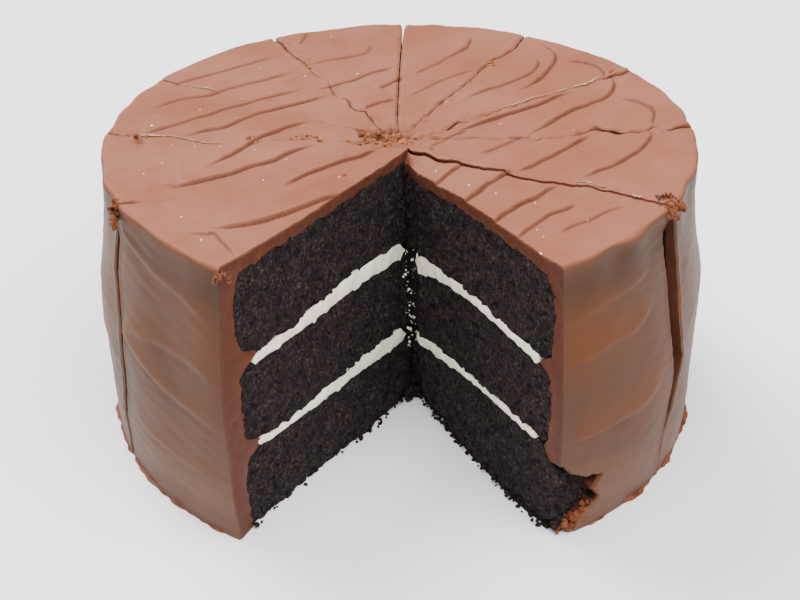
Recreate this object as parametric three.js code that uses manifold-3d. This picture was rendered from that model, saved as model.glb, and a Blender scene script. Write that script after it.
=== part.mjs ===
// A tall chocolate layer cake, cut by hand into slices of about a twelfth, with two neighbouring slices gone.
// Each of the ten slices left is six solids: a frosting jacket, three sponge layers and two cream fillings.
// Millimetres, +Z up. The origin is under the middle of the cake's box, on the surface that it stands on.
// An azimuth is measured round the cake's axis, from the front (-Y) towards the right (+X), in degrees.

import * as THREE from 'three';
import { mergeVertices } from 'three/addons/utils/BufferGeometryUtils.js';
import Module from 'manifold-3d';

const wasm = await Module();
wasm.setup();

// Sizes of the whole cake.
const CAKE_HEIGHT = 118.6;      // table to the mean level of the frosted top
const SPONGE_RADIUS = 114.3;    // a nine-inch tin
const SPONGE_TOP = 112.4;       // table to the top of the highest sponge
const BELLY_RADIUS = 123.4;     // the widest level of the frosted side
const BELLY_LEVEL = 0.45;       // that level, as a share of the height
const FOOT_INSET = 1.4;         // how far the side draws in from the belly to the foot
const SHOULDER_INSET = 5.0;     // and from the belly to the shoulder
const RIM_ROUND = 3.6;          // radius of the rounded rim
const JOIN_GAP = 0.3;           // clearance between solids that touch

// The frosted top: strokes of a spatula, drawn across the cake side by side.
const STROKE_AZIMUTH = 127;     // the way the strokes run
const STROKE_WIDTH = 17;
const STROKE_STEP = 1.3;        // height of the step where one stroke overlaps the next
const TOP_DISH = 1.8;           // how much higher the rim is than the middle
const TOP_LEAN = 0.4;           // degrees by which the top rises to the back

// The frosted side: wide bands left by the spatula as the cake was turned.
const BAND_EDGES = [26, 49, 73, 89];
const BAND_STEP = 0.7;

// Cream fillings: flat below, thinning from the middle to the rim.
const CREAM_RADIUS = 105.5;
const CREAM_MIDDLE_THICKNESS = 7.2;
const CREAM_RIM_THICKNESS = 3.9;
const CREAM_BOTTOMS = { lower: 32.6, upper: 71.4 };

// Cuts. All but one are closed to a hair; the open one gapes at the side.
const HUB = new THREE.Vector2(0, -1);
const CUT_AZIMUTHS = [59.4, 92, 122.2, 150.6, 179, 207.2, 239.5, 266.6, 296.6];
const CUT_GAP = 0.6;
const OPEN_CUT_GAP = 1.8;

// The space of the two slices that are gone: its corner and its two walls.
const NOTCH_CORNER = new THREE.Vector2(-0.8, -9.5);
const NOTCH_RIGHT_AZIMUTH = 30.3;
const NOTCH_LEFT_AZIMUTH = 327;

// The gash down the side at the open cut.
const GASH = { azimuth: 59.6, bottom: 18, top: 113.5, width: 9, depthRadius: 106 };

// The broken foot of the slice to the right of the notch.
const BREAK = { azimuth: 29.3, width: 18, height: 39, depthRadius: 112 };

// That slice has settled lower than the others.
const SETTLED = 0.982;

const TURN_STEPS = 60;
const REACH = 160;              // half-size of the tools, past the cake on every side

const MATERIALS = {
  frosting: { color: 0x8a5b4a, roughness: 0.5, metalness: 0 },
  sponge: { color: 0x2b1d1c, roughness: 0.95, metalness: 0 },
  cream: { color: 0xe6dccb, roughness: 0.6, metalness: 0 },
};

const smooth = (t) => {
  const s = THREE.MathUtils.clamp(t, 0, 1);
  return s * s * (3 - 2 * s);
};

/** The unit vector in plan at an azimuth. */
const heading = (azimuth) => {
  const a = THREE.MathUtils.degToRad(azimuth);
  return new THREE.Vector2(Math.sin(a), -Math.cos(a));
};

/** A closed geometry as a solid: shared vertices merged, faces turned outwards. */
function solid(geometry) {
  const bare = geometry.clone();
  bare.deleteAttribute('normal');
  bare.deleteAttribute('uv');
  const merged = mergeVertices(bare);
  const index = Array.from(merged.index.array);
  const triangles = [];
  for (let i = 0; i < index.length; i += 3) {
    const [a, b, c] = index.slice(i, i + 3);
    if (a !== b && b !== c && c !== a) triangles.push(a, b, c);
  }
  const make = (corners) => new wasm.Manifold(new wasm.Mesh({
    numProp: 3,
    vertProperties: new Float32Array(merged.attributes.position.array),
    triVerts: new Uint32Array(corners),
  }));
  const body = make(triangles);
  return body.volume() > 0 ? body : make(triangles.reverse());
}

/** A solid as a geometry again. */
function geometryOf(body) {
  const mesh = body.getMesh();
  const geometry = new THREE.BufferGeometry();
  geometry.setAttribute('position', new THREE.BufferAttribute(new Float32Array(mesh.vertProperties), 3));
  geometry.setIndex(new THREE.BufferAttribute(new Uint32Array(mesh.triVerts), 1));
  return geometry;
}

/** A profile of [radius, height] pairs turned round the cake's axis. */
function turned(profile) {
  const points = profile.map(([radius, height]) => new THREE.Vector2(radius, height));
  return solid(new THREE.LatheGeometry(points, TURN_STEPS).rotateX(Math.PI / 2));
}

/** An outline in plan carried straight up through the whole cake. */
function prism(corners) {
  const geometry = new THREE.ExtrudeGeometry(new THREE.Shape(corners), { depth: 2 * REACH, bevelEnabled: false });
  return solid(geometry.translate(0, 0, -REACH));
}

/**
 * A tool that enters the side of the cake at an azimuth. Its outline is drawn as seen from outside,
 * x to the right and y up from the table, and is carried inwards to a depth.
 */
function sideTool(outline, azimuth, depthRadius) {
  const length = REACH - depthRadius;
  const geometry = new THREE.ExtrudeGeometry(new THREE.Shape(outline), { depth: length, bevelEnabled: false });
  const out = heading(azimuth);
  const basis = new THREE.Matrix4().makeBasis(
    new THREE.Vector3(-out.y, out.x, 0),
    new THREE.Vector3(0, 0, 1),
    new THREE.Vector3(out.x, out.y, 0),
  );
  geometry.translate(0, 0, depthRadius).applyMatrix4(basis);
  return solid(geometry);
}

/** The radius of the frosted side at a height: a barrel, widest at the belly. */
function sideRadius(height) {
  const level = height / CAKE_HEIGHT;
  if (level < BELLY_LEVEL) return BELLY_RADIUS - FOOT_INSET * ((BELLY_LEVEL - level) / BELLY_LEVEL) ** 2;
  return BELLY_RADIUS - SHOULDER_INSET * smooth((level - BELLY_LEVEL) / BELLY_LEVEL);
}

/** The underside and the top of a cream filling at a radius. */
function creamBottom(name) {
  return CREAM_BOTTOMS[name];
}

function creamTop(name, radius) {
  const thinning = (CREAM_MIDDLE_THICKNESS - CREAM_RIM_THICKNESS) * smooth(radius / CREAM_RADIUS);
  return creamBottom(name) + CREAM_MIDDLE_THICKNESS - thinning;
}

const CREAM_STATIONS = [0, 0.3, 0.55, 0.8, 1].map((share) => share * CREAM_RADIUS);

/** The top of a cream filling from the axis out to an edge, raised by a clearance. */
function creamCrown(name, edge, clearance) {
  const radii = edge > CREAM_RADIUS ? [...CREAM_STATIONS, edge] : CREAM_STATIONS;
  return radii.map((radius) => [radius, creamTop(name, radius) + clearance]);
}

function creamProfile(name) {
  return [[0, creamBottom(name)], [CREAM_RADIUS, creamBottom(name)], ...creamCrown(name, CREAM_RADIUS, 0).reverse()];
}

/** A sponge layer from the filling or table below it to the filling or frosting above it. */
function spongeProfile(below, above) {
  const floor = below ? creamCrown(below, SPONGE_RADIUS, JOIN_GAP) : [[0, 0], [SPONGE_RADIUS, 0]];
  const ceiling = above ? creamBottom(above) - JOIN_GAP : SPONGE_TOP;
  return [...floor, [SPONGE_RADIUS, ceiling], [0, ceiling]];
}

/** The inner wall of the frosting, with the tongue that it pushes between two sponges at each filling. */
function jacketInside() {
  const wall = SPONGE_RADIUS + JOIN_GAP;
  const tongue = CREAM_RADIUS + JOIN_GAP;
  const points = [[0, SPONGE_TOP + JOIN_GAP], [wall, SPONGE_TOP + JOIN_GAP]];
  for (const name of ['upper', 'lower']) {
    const high = creamTop(name, SPONGE_RADIUS);
    const low = creamBottom(name);
    points.push([wall, high], [tongue, high], [tongue, low], [wall, low]);
  }
  points.push([wall, 0]);
  return points;
}

/** The outer wall of the frosting from the foot to above the top, with its bands and its rounded rim. */
function jacketOutside() {
  const points = [[sideRadius(0), 0]];
  for (const edge of BAND_EDGES) {
    points.push([sideRadius(edge), edge]);
    points.push([sideRadius(edge) - BAND_STEP, edge + BAND_STEP]);
  }
  const rimCentre = CAKE_HEIGHT + TOP_DISH - RIM_ROUND;
  const shoulder = sideRadius(rimCentre);
  for (const turn of [0, 30, 60, 90]) {
    const a = THREE.MathUtils.degToRad(turn);
    points.push([shoulder - RIM_ROUND * (1 - Math.cos(a)), rimCentre + RIM_ROUND * Math.sin(a)]);
  }
  points.push([0, CAKE_HEIGHT + TOP_DISH]);
  return points;
}

/**
 * Everything below the frosted top: a slab whose upper edge, seen along the strokes, is a row of shallow
 * steps in a dished line. Step k stands a little off its even place, as hand strokes do.
 */
function underTheStrokes() {
  const strokes = Math.ceil(BELLY_RADIUS / STROKE_WIDTH);
  const dished = (across) => CAKE_HEIGHT - TOP_DISH / 2 + TOP_DISH * (across / SPONGE_RADIUS) ** 2;
  const edge = [];
  for (let k = -strokes; k <= strokes; k += 1) {
    const across = STROKE_WIDTH * (k + 0.18 * Math.sin(2.4 * k));
    edge.push(new THREE.Vector2(across - 1, dished(across) + STROKE_STEP / 2));
    edge.push(new THREE.Vector2(across + 1, dished(across) - STROKE_STEP / 2));
  }
  const outline = [
    new THREE.Vector2(-REACH, -REACH),
    new THREE.Vector2(REACH, -REACH),
    new THREE.Vector2(REACH, CAKE_HEIGHT),
    ...edge.reverse(),
    new THREE.Vector2(-REACH, CAKE_HEIGHT),
  ];
  const slab = new THREE.ExtrudeGeometry(new THREE.Shape(outline), { depth: 2 * REACH, bevelEnabled: false });
  const along = heading(STROKE_AZIMUTH);
  slab.translate(0, 0, -REACH).applyMatrix4(new THREE.Matrix4().makeBasis(
    new THREE.Vector3(-along.y, along.x, 0),
    new THREE.Vector3(0, 0, 1),
    new THREE.Vector3(along.x, along.y, 0),
  ));
  slab.translate(0, 0, -CAKE_HEIGHT).rotateX(THREE.MathUtils.degToRad(TOP_LEAN)).translate(0, 0, CAKE_HEIGHT);
  return solid(slab);
}

/** The gash: wide under the rim, narrowing below the belly, with a wandering middle line. */
function gash() {
  const steps = 8;
  const side = (sign) => Array.from({ length: steps + 1 }, (_, i) => {
    const height = THREE.MathUtils.lerp(GASH.bottom, GASH.top, i / steps);
    const width = GASH.width * Math.sqrt(smooth((height - GASH.bottom + 4) / 50));
    const middle = 2 * Math.sin(height / 14);
    return new THREE.Vector2(middle + sign * width / 2, height);
  });
  return sideTool([...side(1), ...side(-1).reverse()], GASH.azimuth, GASH.depthRadius);
}

/** The chip out of the foot: a slanting top edge and a ragged far edge. */
function chip() {
  const { width, height } = BREAK;
  const outline = [[-8, -5], [0.7, -5], [0.85, 0.3], [1, 0.7], [0.45, 0.86], [0, 1.02], [-8, 1.05]].map(
    ([x, y]) => new THREE.Vector2(x < 0 ? x : x * width, y < 0 ? y : y * height),
  );
  return sideTool(outline, BREAK.azimuth, BREAK.depthRadius);
}

/** A polygon in plan with each edge moved inwards by its own distance. Edge i starts at corner i. */
function inset(corners, distances) {
  const edges = corners.map((corner, i) => {
    const along = corners[(i + 1) % corners.length].clone().sub(corner).normalize();
    const inward = new THREE.Vector2(-along.y, along.x);
    return { start: corner.clone().addScaledVector(inward, distances[i]), along };
  });
  return edges.map((edge, i) => {
    const previous = edges[(i + edges.length - 1) % edges.length];
    const between = edge.start.clone().sub(previous.start);
    const share = between.cross(edge.along) / previous.along.cross(edge.along);
    return previous.start.clone().addScaledVector(previous.along, share);
  });
}

/** The plan outline of every slice, anticlockwise from the right of the notch. */
function slicePlans() {
  const far = (from, azimuth) => from.clone().addScaledVector(heading(azimuth), REACH);
  const halfGap = (cut) => (cut === 0 ? OPEN_CUT_GAP : CUT_GAP) / 2;
  const last = CUT_AZIMUTHS.length - 1;
  const ends = CUT_AZIMUTHS.map((azimuth) => far(HUB, azimuth));
  const first = inset(
    [HUB, NOTCH_CORNER, far(NOTCH_CORNER, NOTCH_RIGHT_AZIMUTH), ends[0]],
    [CUT_GAP / 2, 0, 0, halfGap(0)],
  );
  const middle = CUT_AZIMUTHS.slice(1).map((_, i) => inset(
    [HUB, ends[i], ends[i + 1]],
    [halfGap(i), 0, halfGap(i + 1)],
  ));
  const final = inset(
    [HUB, ends[last], far(NOTCH_CORNER, NOTCH_LEFT_AZIMUTH), NOTCH_CORNER],
    [halfGap(last), 0, 0, CUT_GAP / 2],
  );
  return [first, ...middle, final];
}

/** The six layers of the whole, uncut cake. */
function layers() {
  const jacket = turned([...jacketInside(), ...jacketOutside()]);
  return [
    ['sponge_bottom', 'sponge', turned(spongeProfile(null, 'lower'))],
    ['cream_lower', 'cream', turned(creamProfile('lower'))],
    ['sponge_middle', 'sponge', turned(spongeProfile('lower', 'upper'))],
    ['cream_upper', 'cream', turned(creamProfile('upper'))],
    ['sponge_top', 'sponge', turned(spongeProfile('upper', null))],
    ['frosting', 'frosting', jacket.intersect(underTheStrokes())],
  ];
}

/** One slice: its share of each layer, with the wounds that it carries. */
function slice(number, plan, cake, wounds) {
  const group = new THREE.Group();
  const wedge = prism(plan);
  for (const [layer, material, whole] of cake) {
    let body = whole.intersect(wedge);
    for (const wound of wounds) body = body.subtract(wound);
    const name = `slice_${String(number).padStart(2, '0')}_${layer}`;
    const mesh = new THREE.Mesh(geometryOf(body), new THREE.MeshStandardMaterial(MATERIALS[material]));
    mesh.name = name;
    group.add(mesh);
  }
  return group;
}

const cake = new THREE.Group();
const whole = layers();
const open = gash();
const woundsOf = { 1: [open, chip()], 2: [open] };
slicePlans().forEach((plan, i) => {
  const piece = slice(i + 1, plan, whole, woundsOf[i + 1] ?? []);
  if (i === 0) piece.children.forEach((mesh) => mesh.geometry.scale(1, 1, SETTLED));
  cake.add(piece);
});

// The missing slices leave the box off the cake's axis, so the cake is moved to stand over its box's middle.
const box = new THREE.Box3().setFromObject(cake);
const centre = box.getCenter(new THREE.Vector3());
cake.position.set(-centre.x, -centre.y, -box.min.z);
cake.name = 'layer_cake';

export default cake;
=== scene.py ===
"""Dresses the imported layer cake: frosting, sponge, fillings, crumbs and a plain studio around them."""

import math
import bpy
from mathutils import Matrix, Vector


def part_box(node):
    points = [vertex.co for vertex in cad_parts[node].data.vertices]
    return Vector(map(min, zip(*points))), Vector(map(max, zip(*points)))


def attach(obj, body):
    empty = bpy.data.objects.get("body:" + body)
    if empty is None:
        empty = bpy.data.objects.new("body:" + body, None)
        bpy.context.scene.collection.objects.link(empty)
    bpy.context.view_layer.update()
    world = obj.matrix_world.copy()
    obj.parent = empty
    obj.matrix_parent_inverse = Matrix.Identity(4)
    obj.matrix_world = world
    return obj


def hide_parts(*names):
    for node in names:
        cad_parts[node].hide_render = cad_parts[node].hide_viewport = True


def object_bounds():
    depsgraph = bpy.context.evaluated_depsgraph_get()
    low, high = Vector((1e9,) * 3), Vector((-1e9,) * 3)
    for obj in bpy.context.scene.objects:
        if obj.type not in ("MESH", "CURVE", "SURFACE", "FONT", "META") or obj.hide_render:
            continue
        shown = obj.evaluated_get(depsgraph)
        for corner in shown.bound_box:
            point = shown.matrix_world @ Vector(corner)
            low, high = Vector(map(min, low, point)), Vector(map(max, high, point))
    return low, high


bl_info = {
    "name": "Layer Cake Dressing",
    "version": (1, 0, 0),
    "blender": (4, 5, 0),
    "location": "View3D > Sidebar > Cake",
    "description": "Builds the frosted surface, cut faces and crumbs of a sliced layer cake",
    "category": "Object",
}

import bpy
import numpy as np
from mathutils import Matrix, Vector

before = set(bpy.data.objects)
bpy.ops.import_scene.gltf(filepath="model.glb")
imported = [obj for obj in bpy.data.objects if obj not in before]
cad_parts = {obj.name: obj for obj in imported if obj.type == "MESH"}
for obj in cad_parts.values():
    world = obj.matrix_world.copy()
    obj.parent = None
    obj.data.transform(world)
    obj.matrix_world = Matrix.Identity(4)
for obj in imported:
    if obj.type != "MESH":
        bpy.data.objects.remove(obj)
CAD_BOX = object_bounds()

# Shapes are worked out in millimetres from the cake's axis at table level, and made in metres in the frame
# of the CAD nodes.
MM = 0.001


def reach_of(node):
    """The largest distance of a CAD node from the cake's axis, in millimetres."""
    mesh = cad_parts[node].data
    points = np.empty(len(mesh.vertices) * 3)
    mesh.vertices.foreach_get("co", points)
    points = points.reshape(-1, 3) / MM
    return float(np.hypot(points[:, 0], points[:, 1] - AXIS_Y).max())


def level_of(node):
    """The lowest and highest level of a CAD node, in millimetres."""
    low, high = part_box(node)
    return low.z / MM, high.z / MM


BELLY_RADIUS = (CAD_BOX[1].x - CAD_BOX[0].x) / 2 / MM
AXIS_Y = CAD_BOX[1].y / MM - BELLY_RADIUS
SPONGE_RADIUS = reach_of("slice_05_sponge_top")
CREAM_RADIUS = reach_of("slice_05_cream_upper")
FROSTED_TOP = level_of("slice_05_frosting")[1]
SPONGE_TOP = level_of("slice_05_sponge_top")[1]
LOWER_CREAM = level_of("slice_05_cream_lower")
UPPER_CREAM = level_of("slice_05_cream_upper")

# The frosted outline: a barrel with a rounded rim and a slightly dished, leaning top.
BELLY_LEVEL = 0.45 * FROSTED_TOP
FOOT_INSET = 1.4
SHOULDER_INSET = 5.0
RIM_ROUND = 1.7
TOP_MIDDLE = FROSTED_TOP - 3.2
TOP_DISH = 1.8
TOP_LEAN = 0.004
RAY_BASE = 30.0

# How much the first slice has sunk, as shares of its height: all over, and besides at its tip.
SINK = 0.014
TIP_SINK = 0.026

# The cuts meet at the hub. The two slices that are gone had their corner a little in front of it.
HUB = np.array([0.0, -1.0])
NOTCH_CORNER = np.array([-0.8, -9.5])
NOTCH_RIGHT, NOTCH_LEFT = 30.3, 327.0

# Each cut: its azimuth, how it runs over the top as (distance, sideways, gape), how it runs down the
# side as (height, sideways, gape), and the height of the lips that it raised.
CUTS = (
    (59.4,
     ((4, -5.4, 0.1), (10, -4.9, 0.1), (14, -3.8, 0.1), (22, -6.4, 0.1), (28, -4.8, 0.1),
      (34, -5.2, 0.1),
      (42, -5.9, 0.1), (50, -4.2, 0.1), (57, -4.8, 0.1), (66, -4.6, 0.1), (71, -3.1, 0.1),
      (77, -2.6, 0.1),
      (83, -1.6, 0.2), (90, -0.6, 0.3), (94, -0.6, 0.1), (98, -0.5, 0.0), (125, -0.5, 0.0)),
     ((0, -5.5, 0.5), (16, -5.2, 0.7), (20, -3.0, 2.0), (26, 0.4, 4.6), (34, 1.2, 5.6), (42, 2.6, 7.8),
      (49, 3.4, 9.6), (56, 1.0, 9.0), (68, -0.4, 8.8), (82, 0.2, 9.6), (92, 0.2, 9.8), (104, -2.0, 10.4),
      (111, -3.4, 10.2), (113.5, -3.0, 7.5), (115.5, -0.5, 0.0), (125, -0.5, 0.0)),
     1.0),
    (92.0,
     ((4, 0.5, 0.3), (20, 0.3, 0.2), (40, -1.4, 0.1), (51, -1.8, 0.4), (60, -3.0, 0.2), (70, -1.9, 0.2),
      (76, 1.4, 1.2), (80, 2.0, 2.4), (84, 1.1, 2.6), (90, -0.8, 1.8), (95, -1.7, 1.2), (99, 0.0, 0.9),
      (102, 2.8, 1.0), (105, 0.4, 0.9), (108, -0.6, 1.5), (113, 0.8, 2.0), (125, 1.0, 1.4)),
     ((0, 0.5, 0.6), (60, 0.0, 0.6), (108, 0.8, 1.0), (125, 1.0, 1.4)),
     0.9),
    (122.2,
     ((4, -2.0, 0.8), (9, -3.0, 1.0), (16, -2.1, 0.7), (24, -0.6, 1.2), (35, -0.8, 0.5), (40, -0.8, 0.9),
      (48, -1.0, 0.2), (76, -0.8, 0.1), (99, -0.3, 0.1), (105, -0.6, 0.8), (109, -2.4, 0.4),
      (125, -0.8, 0.6)),
     ((0, 0.0, 0.7), (50, -0.6, 0.7), (112, -0.8, 0.6), (125, -0.8, 0.6)),
     0.8),
    (150.6,
     ((4, 0.2, 0.2), (14, 1.4, 0.3), (20, 2.3, 0.4), (33, 1.7, 0.4), (60, 1.2, 0.5), (76, 2.3, 0.5),
      (86, 2.2, 0.4), (94, -0.6, 0.5), (103, -1.6, 0.7), (112, -0.3, 1.2), (125, 0.5, 1.4)),
     ((0, 0.6, 0.7), (60, 0.0, 0.7), (125, 0.5, 1.4)),
     0.3),
    (179.0,
     ((4, 0.1, 0.2), (26, 1.0, 0.4), (61, 0.6, 0.5), (100, -0.2, 0.5), (112, -0.8, 0.9),
      (118, -1.0, 2.4),
      (125, -1.0, 3.0)),
     ((0, -0.4, 0.7), (104, -0.6, 0.9), (114, -0.8, 1.6), (125, -1.0, 3.0)),
     0.3),
    (207.2,
     ((4, 1.4, 0.2), (17, 1.5, 0.3), (24, 0.9, 0.4), (30, -0.6, 0.5), (33, 2.0, 0.5), (38, 2.3, 0.3),
      (44, 0.9, 0.4), (48, 3.0, 0.1), (53, 3.4, 0.3), (60, 1.6, 0.2), (66, -0.3, 0.0), (73, 2.3, 0.2),
      (86, 1.7, 0.3), (94, 2.5, 0.4), (103, 2.0, 0.5), (112, 1.6, 1.0), (119, 2.6, 2.6),
      (125, 2.6, 3.0)),
     ((0, 0.8, 0.7), (100, 1.2, 0.9), (112, 2.0, 1.6), (125, 2.6, 3.0)),
     0.3),
    (239.5,
     ((4, 0.2, 0.3), (30, -0.6, 0.1), (59, -1.3, 0.0), (87, -0.7, 0.0), (96, -0.2, 0.0), (113, 0.1, 0.6),
      (125, 0.1, 1.6)),
     ((0, 0.0, 0.6), (104, 0.1, 0.7), (125, 0.1, 1.6)),
     0.3),
    (266.6,
     ((4, 1.0, 0.6), (14, 2.4, 0.5), (22, 2.2, 0.1), (31, 2.4, 0.0), (37, -1.2, 0.2), (43, 0.6, 0.2),
      (57, 2.6, 0.1), (70, 5.4, 0.0), (78, 5.4, 0.0), (86, 3.0, 0.0), (94, 1.0, 0.0), (104, 1.2, 0.4),
      (112, 0.6, 0.2), (118, -1.4, 1.0), (125, -1.6, 1.6)),
     ((0, -0.6, 0.7), (90, -0.8, 0.9), (110, -1.2, 2.4), (125, -1.6, 1.6)),
     0.5),
    (296.6,
     ((4, 1.6, 0.4), (12, 1.8, 0.1), (50, 4.4, 0.0), (80, 7.0, 0.0), (93, 6.2, 0.0), (101, 5.0, 0.0),
      (110, 2.8, 0.2), (118, 0.6, 1.0), (125, 0.4, 1.4)),
     ((0, -4.2, 1.6), (15, -2.0, 2.4), (23, -3.4, 2.6), (36, -0.4, 2.9), (52, 1.8, 2.7), (67, 3.0, 2.8),
      (82, -1.2, 3.0), (88, -3.0, 3.4), (97, -1.8, 3.2), (103, 0.0, 3.6), (108, 1.2, 3.0),
      (112, -2.5, 2.0),
      (125, -1.5, 1.4)),
     0.3),
)

# Ridges that the spatula left on the top: height, how far the swept side reaches, and the ridge's line.
# The swept side lies to the left of the line's direction, the drop to its right.
STROKES = (
    (1.7, 9, ((-70, -73), (-57, -71), (-48, -66), (-40, -60), (-30, -52), (-20, -44))),
    (1.3, 9, ((-91, -38), (-83, -38.6), (-76, -35.5), (-66, -30), (-58, -23), (-50, -18.5),
              (-42, -10), (-30, 0))),
    (1.2, 8, ((-46, -41), (-35, -29), (-25, -19.5), (-16, -14), (-7, -6))),
    (1.2, 8, ((-76, -26), (-66, -12), (-57, 1), (-50, 8), (-44, 14), (-35, 20))),
    (1.0, 9, ((-89, 3), (-78, 9), (-69, 13), (-60, 22), (-49, 30), (-38, 38), (-27, 45))),
    (0.8, 9, ((-106, 4), (-96, 11), (-86, 18), (-74, 28), (-62, 36), (-50, 44), (-37, 53))),
    (0.7, 9, ((-106, 27), (-92, 37), (-80, 42), (-68, 52), (-55, 60), (-42, 70))),
    (0.6, 9, ((-97, 52), (-85, 62), (-70, 72), (-52, 84))),
    (0.8, 8, ((-36, 48), (-22, 56), (-12, 64), (-1, 71))),
    (1.0, 5, ((-15, 29), (-9, 35), (-1, 38.5))),
    (0.9, 5, ((-9, 49), (-3, 55), (2, 61))),
    (0.6, 5, ((-42, 73), (-28, 79), (-20, 83), (-14, 87), (-12, 97))),
    (0.7, 4, ((-44.5, 95), (-42.5, 102), (-41, 109))),
    (0.5, 7, ((3, 40), (12, 50), (22, 60), (34, 69))),
    (0.6, 6, ((6, 62), (16, 72), (24, 83))),
    (0.9, 5, ((20, 78), (28, 87), (31, 92), (33, 102))),
    (0.8, 7, ((24, 34), (38, 46), (52, 56), (58, 62), (61, 70), (60, 76))),
    (1.1, 8, ((48, 42), (58, 52), (64, 62), (68, 72), (69, 80), (66, 88), (62, 91))),
    (0.9, 5, ((72, 74), (80, 71), (86, 67), (89, 60), (89, 54))),
    (1.2, 7, ((20, 3), (30, 11), (40, 18), (50, 24.5), (58, 30), (65, 36), (75, 43))),
    (1.2, 8, ((50, 2), (60, 12), (70, 22), (79, 30), (86, 36), (91, 46), (91, 56))),
    (1.1, 6, ((91, 34), (98, 31), (102, 27), (104, 20), (103.5, 12), (102, 5))),
    (1.0, 6, ((90, 54), (95, 57), (101, 61))),
    (1.1, 9, ((44, -30), (52, -24), (60, -17), (68, -9), (77, 1))),
    (1.1, 9, ((66, -38), (78, -30), (87, -21), (93, -15), (98, -7), (101, 2))),
    (0.6, 8, ((31, -14), (42, -5), (51, 2))),
    (0.6, 6, ((10, -9), (20, 1), (28, 8))),
    (1.2, 6, ((11, -35), (18, -27), (25, -20))),
    (1.4, 7, ((21, -52), (30, -42), (37, -34), (44, -28))),
    (1.4, 8, ((31, -70), (41, -58), (50, -50), (61, -40))),
    (1.1, 8, ((39, -83), (50, -69), (58, -61), (66, -56))),
    (0.7, 8, ((56, -78), (70, -66), (84, -58))),
    (0.9, 4, ((-78, -74), (-70, -76.5), (-66.5, -76), (-63, -83), (-57, -96))),
)

# Torn holes in the top: x, y, size and depth.
HOLES = (
    (-8, 4.5, 2.6, 7), (-12, 6.0, 1.6, 4), (-15.5, 8.0, 1.2, 2.5), (3, 2, 2, 4.5), (-1.5, 9.5, 1.4, 2.5),
    (-103, 0, 2, 1.4), (-15, -3.5, 1.6, 1), (-53, 38, 1.2, 0.8), (-85, -38.4, 2.6, 0.7),
)

# Ridges on the side: height, reach of the swept side above the line, and points of (azimuth, height).
BANDS = (
    (0.9, 9, ((-63, 66), (-59, 62), (-54, 59), (-48, 55), (-41, 52.5), (-32, 50))),
    (0.7, 8, ((-62, 66), (-50, 71.5), (-42, 73), (-31, 71))),
    (0.8, 6, ((-61, 110), (-57, 104), (-50, 99.5), (-43, 98.5), (-33, 93))),
    (0.9, 7, ((30, 77), (34, 76.5), (39, 77.8), (46, 79), (53, 85))),
    (1.0, 8, ((30, 44), (34, 43), (39, 43), (47, 44), (55, 48))),
    (0.6, 9, ((30, 92), (40, 95), (52, 99))),
    (0.7, 8, ((64, 52), (74, 60), (86, 64), (98, 62), (110, 56))),
    (0.6, 9, ((72, 84), (84, 92), (98, 95), (112, 90))),
    (0.8, 9, ((104, 78), (118, 72), (134, 62), (150, 58), (164, 60))),
    (0.8, 9, ((112, 38), (128, 46), (144, 48), (160, 42))),
    (0.6, 8, ((90, 20), (106, 27), (124, 26), (142, 19))),
    (0.6, 8, ((134, 90), (150, 98), (168, 99), (186, 92))),
    (0.8, 9, ((170, 80), (184, 72), (200, 66), (218, 66), (232, 72))),
    (0.7, 8, ((176, 30), (192, 40), (210, 46), (228, 44))),
    (0.6, 8, ((206, 98), (222, 92), (240, 90), (258, 95))),
    (0.7, 9, ((236, 58), (250, 68), (264, 73), (280, 70), (292, 62))),
    (0.6, 8, ((238, 24), (254, 32), (270, 35), (288, 30))),
    (0.7, 9, ((262, 46), (274, 50), (286, 49), (298, 42))),
    (0.6, 8, ((204, 14), (222, 20), (240, 18))),
    (0.6, 7, ((-62, 30), (-52, 27), (-42, 26), (-34, 24))),
)

# The fillings where they show in the notch: distance from the notch's corner, underside and top.
FILLING_LINES = {
    (10, "upper"): ((0, 70.6, 77), (10, 71, 78), (34, 71.5, 79), (38, 71.5, 79.2), (46, 71.5, 78),
                    (60, 71.3, 77), (75, 71, 75.4), (90, 70.8, 74.8), (100, 71.2, 74.2)),
    (10, "lower"): ((0, 30, 36.6), (10, 30.6, 37.4), (40, 31.3, 37.4), (60, 32, 36.6), (70, 32.4, 36),
                    (80, 32.8, 35.4), (92, 33, 36.1), (99, 34.6, 37.2)),
    (1, "upper"): ((0, 70.5, 75), (8, 70.5, 78), (22, 70.8, 79.2), (30, 73.6, 79), (50, 74.6, 78.2),
                   (70, 73.6, 77),
                   (90, 72.6, 76.2), (98, 72, 76.4)),
    (1, "lower"): ((0, 33, 37.5), (8, 34.2, 39), (30, 36, 40.2), (42, 37, 40.6), (50, 37.4, 40),
                   (70, 37.6, 40.2),
                   (90, 37.5, 40), (99, 38, 40)),
}

# Where frosting broke off the foot beside the notch: (azimuth, height), from the notch round the chip.
CHIP = ((20, 44), (26, 43), (28.6, 33), (30.4, 28.5), (34, 24.5), (37.6, 22), (35.8, 17), (37.8, 11.5),
        (33.8, 7.5), (32.5, 4), (30.5, -3), (20, -3))


# How far each face of the notch strays towards larger azimuths: (distance from the notch's corner, at the
# top, at mid height, at the table). The right face has lost crumb at its inner end and along the table.
NOTCH_STRAY = {
    1: ((0, 2.4, 5.0, 6.5), (6, 1.6, 2.8, 5.0), (12, 0.9, 1.0, 4.2), (25, 1.0, 1.3, 3.4),
        (45, 2.1, 1.8, 2.0),
        (60, 2.1, 1.9, 1.2), (98, 1.4, 1.2, 0.6), (112, 3.0, 1.4, 0.4)),
    10: ((0, 2.6, 3.4, 3.8), (8, 2.4, 3.3, 3.8), (28, 1.9, 1.9, 3.6), (45, 1.4, 1.4, 1.6),
         (60, 1.2, 1.3, 0.8),
         (97, -0.8, -0.6, -0.4), (112, -2.0, -0.8, 0.4)),
}


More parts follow.
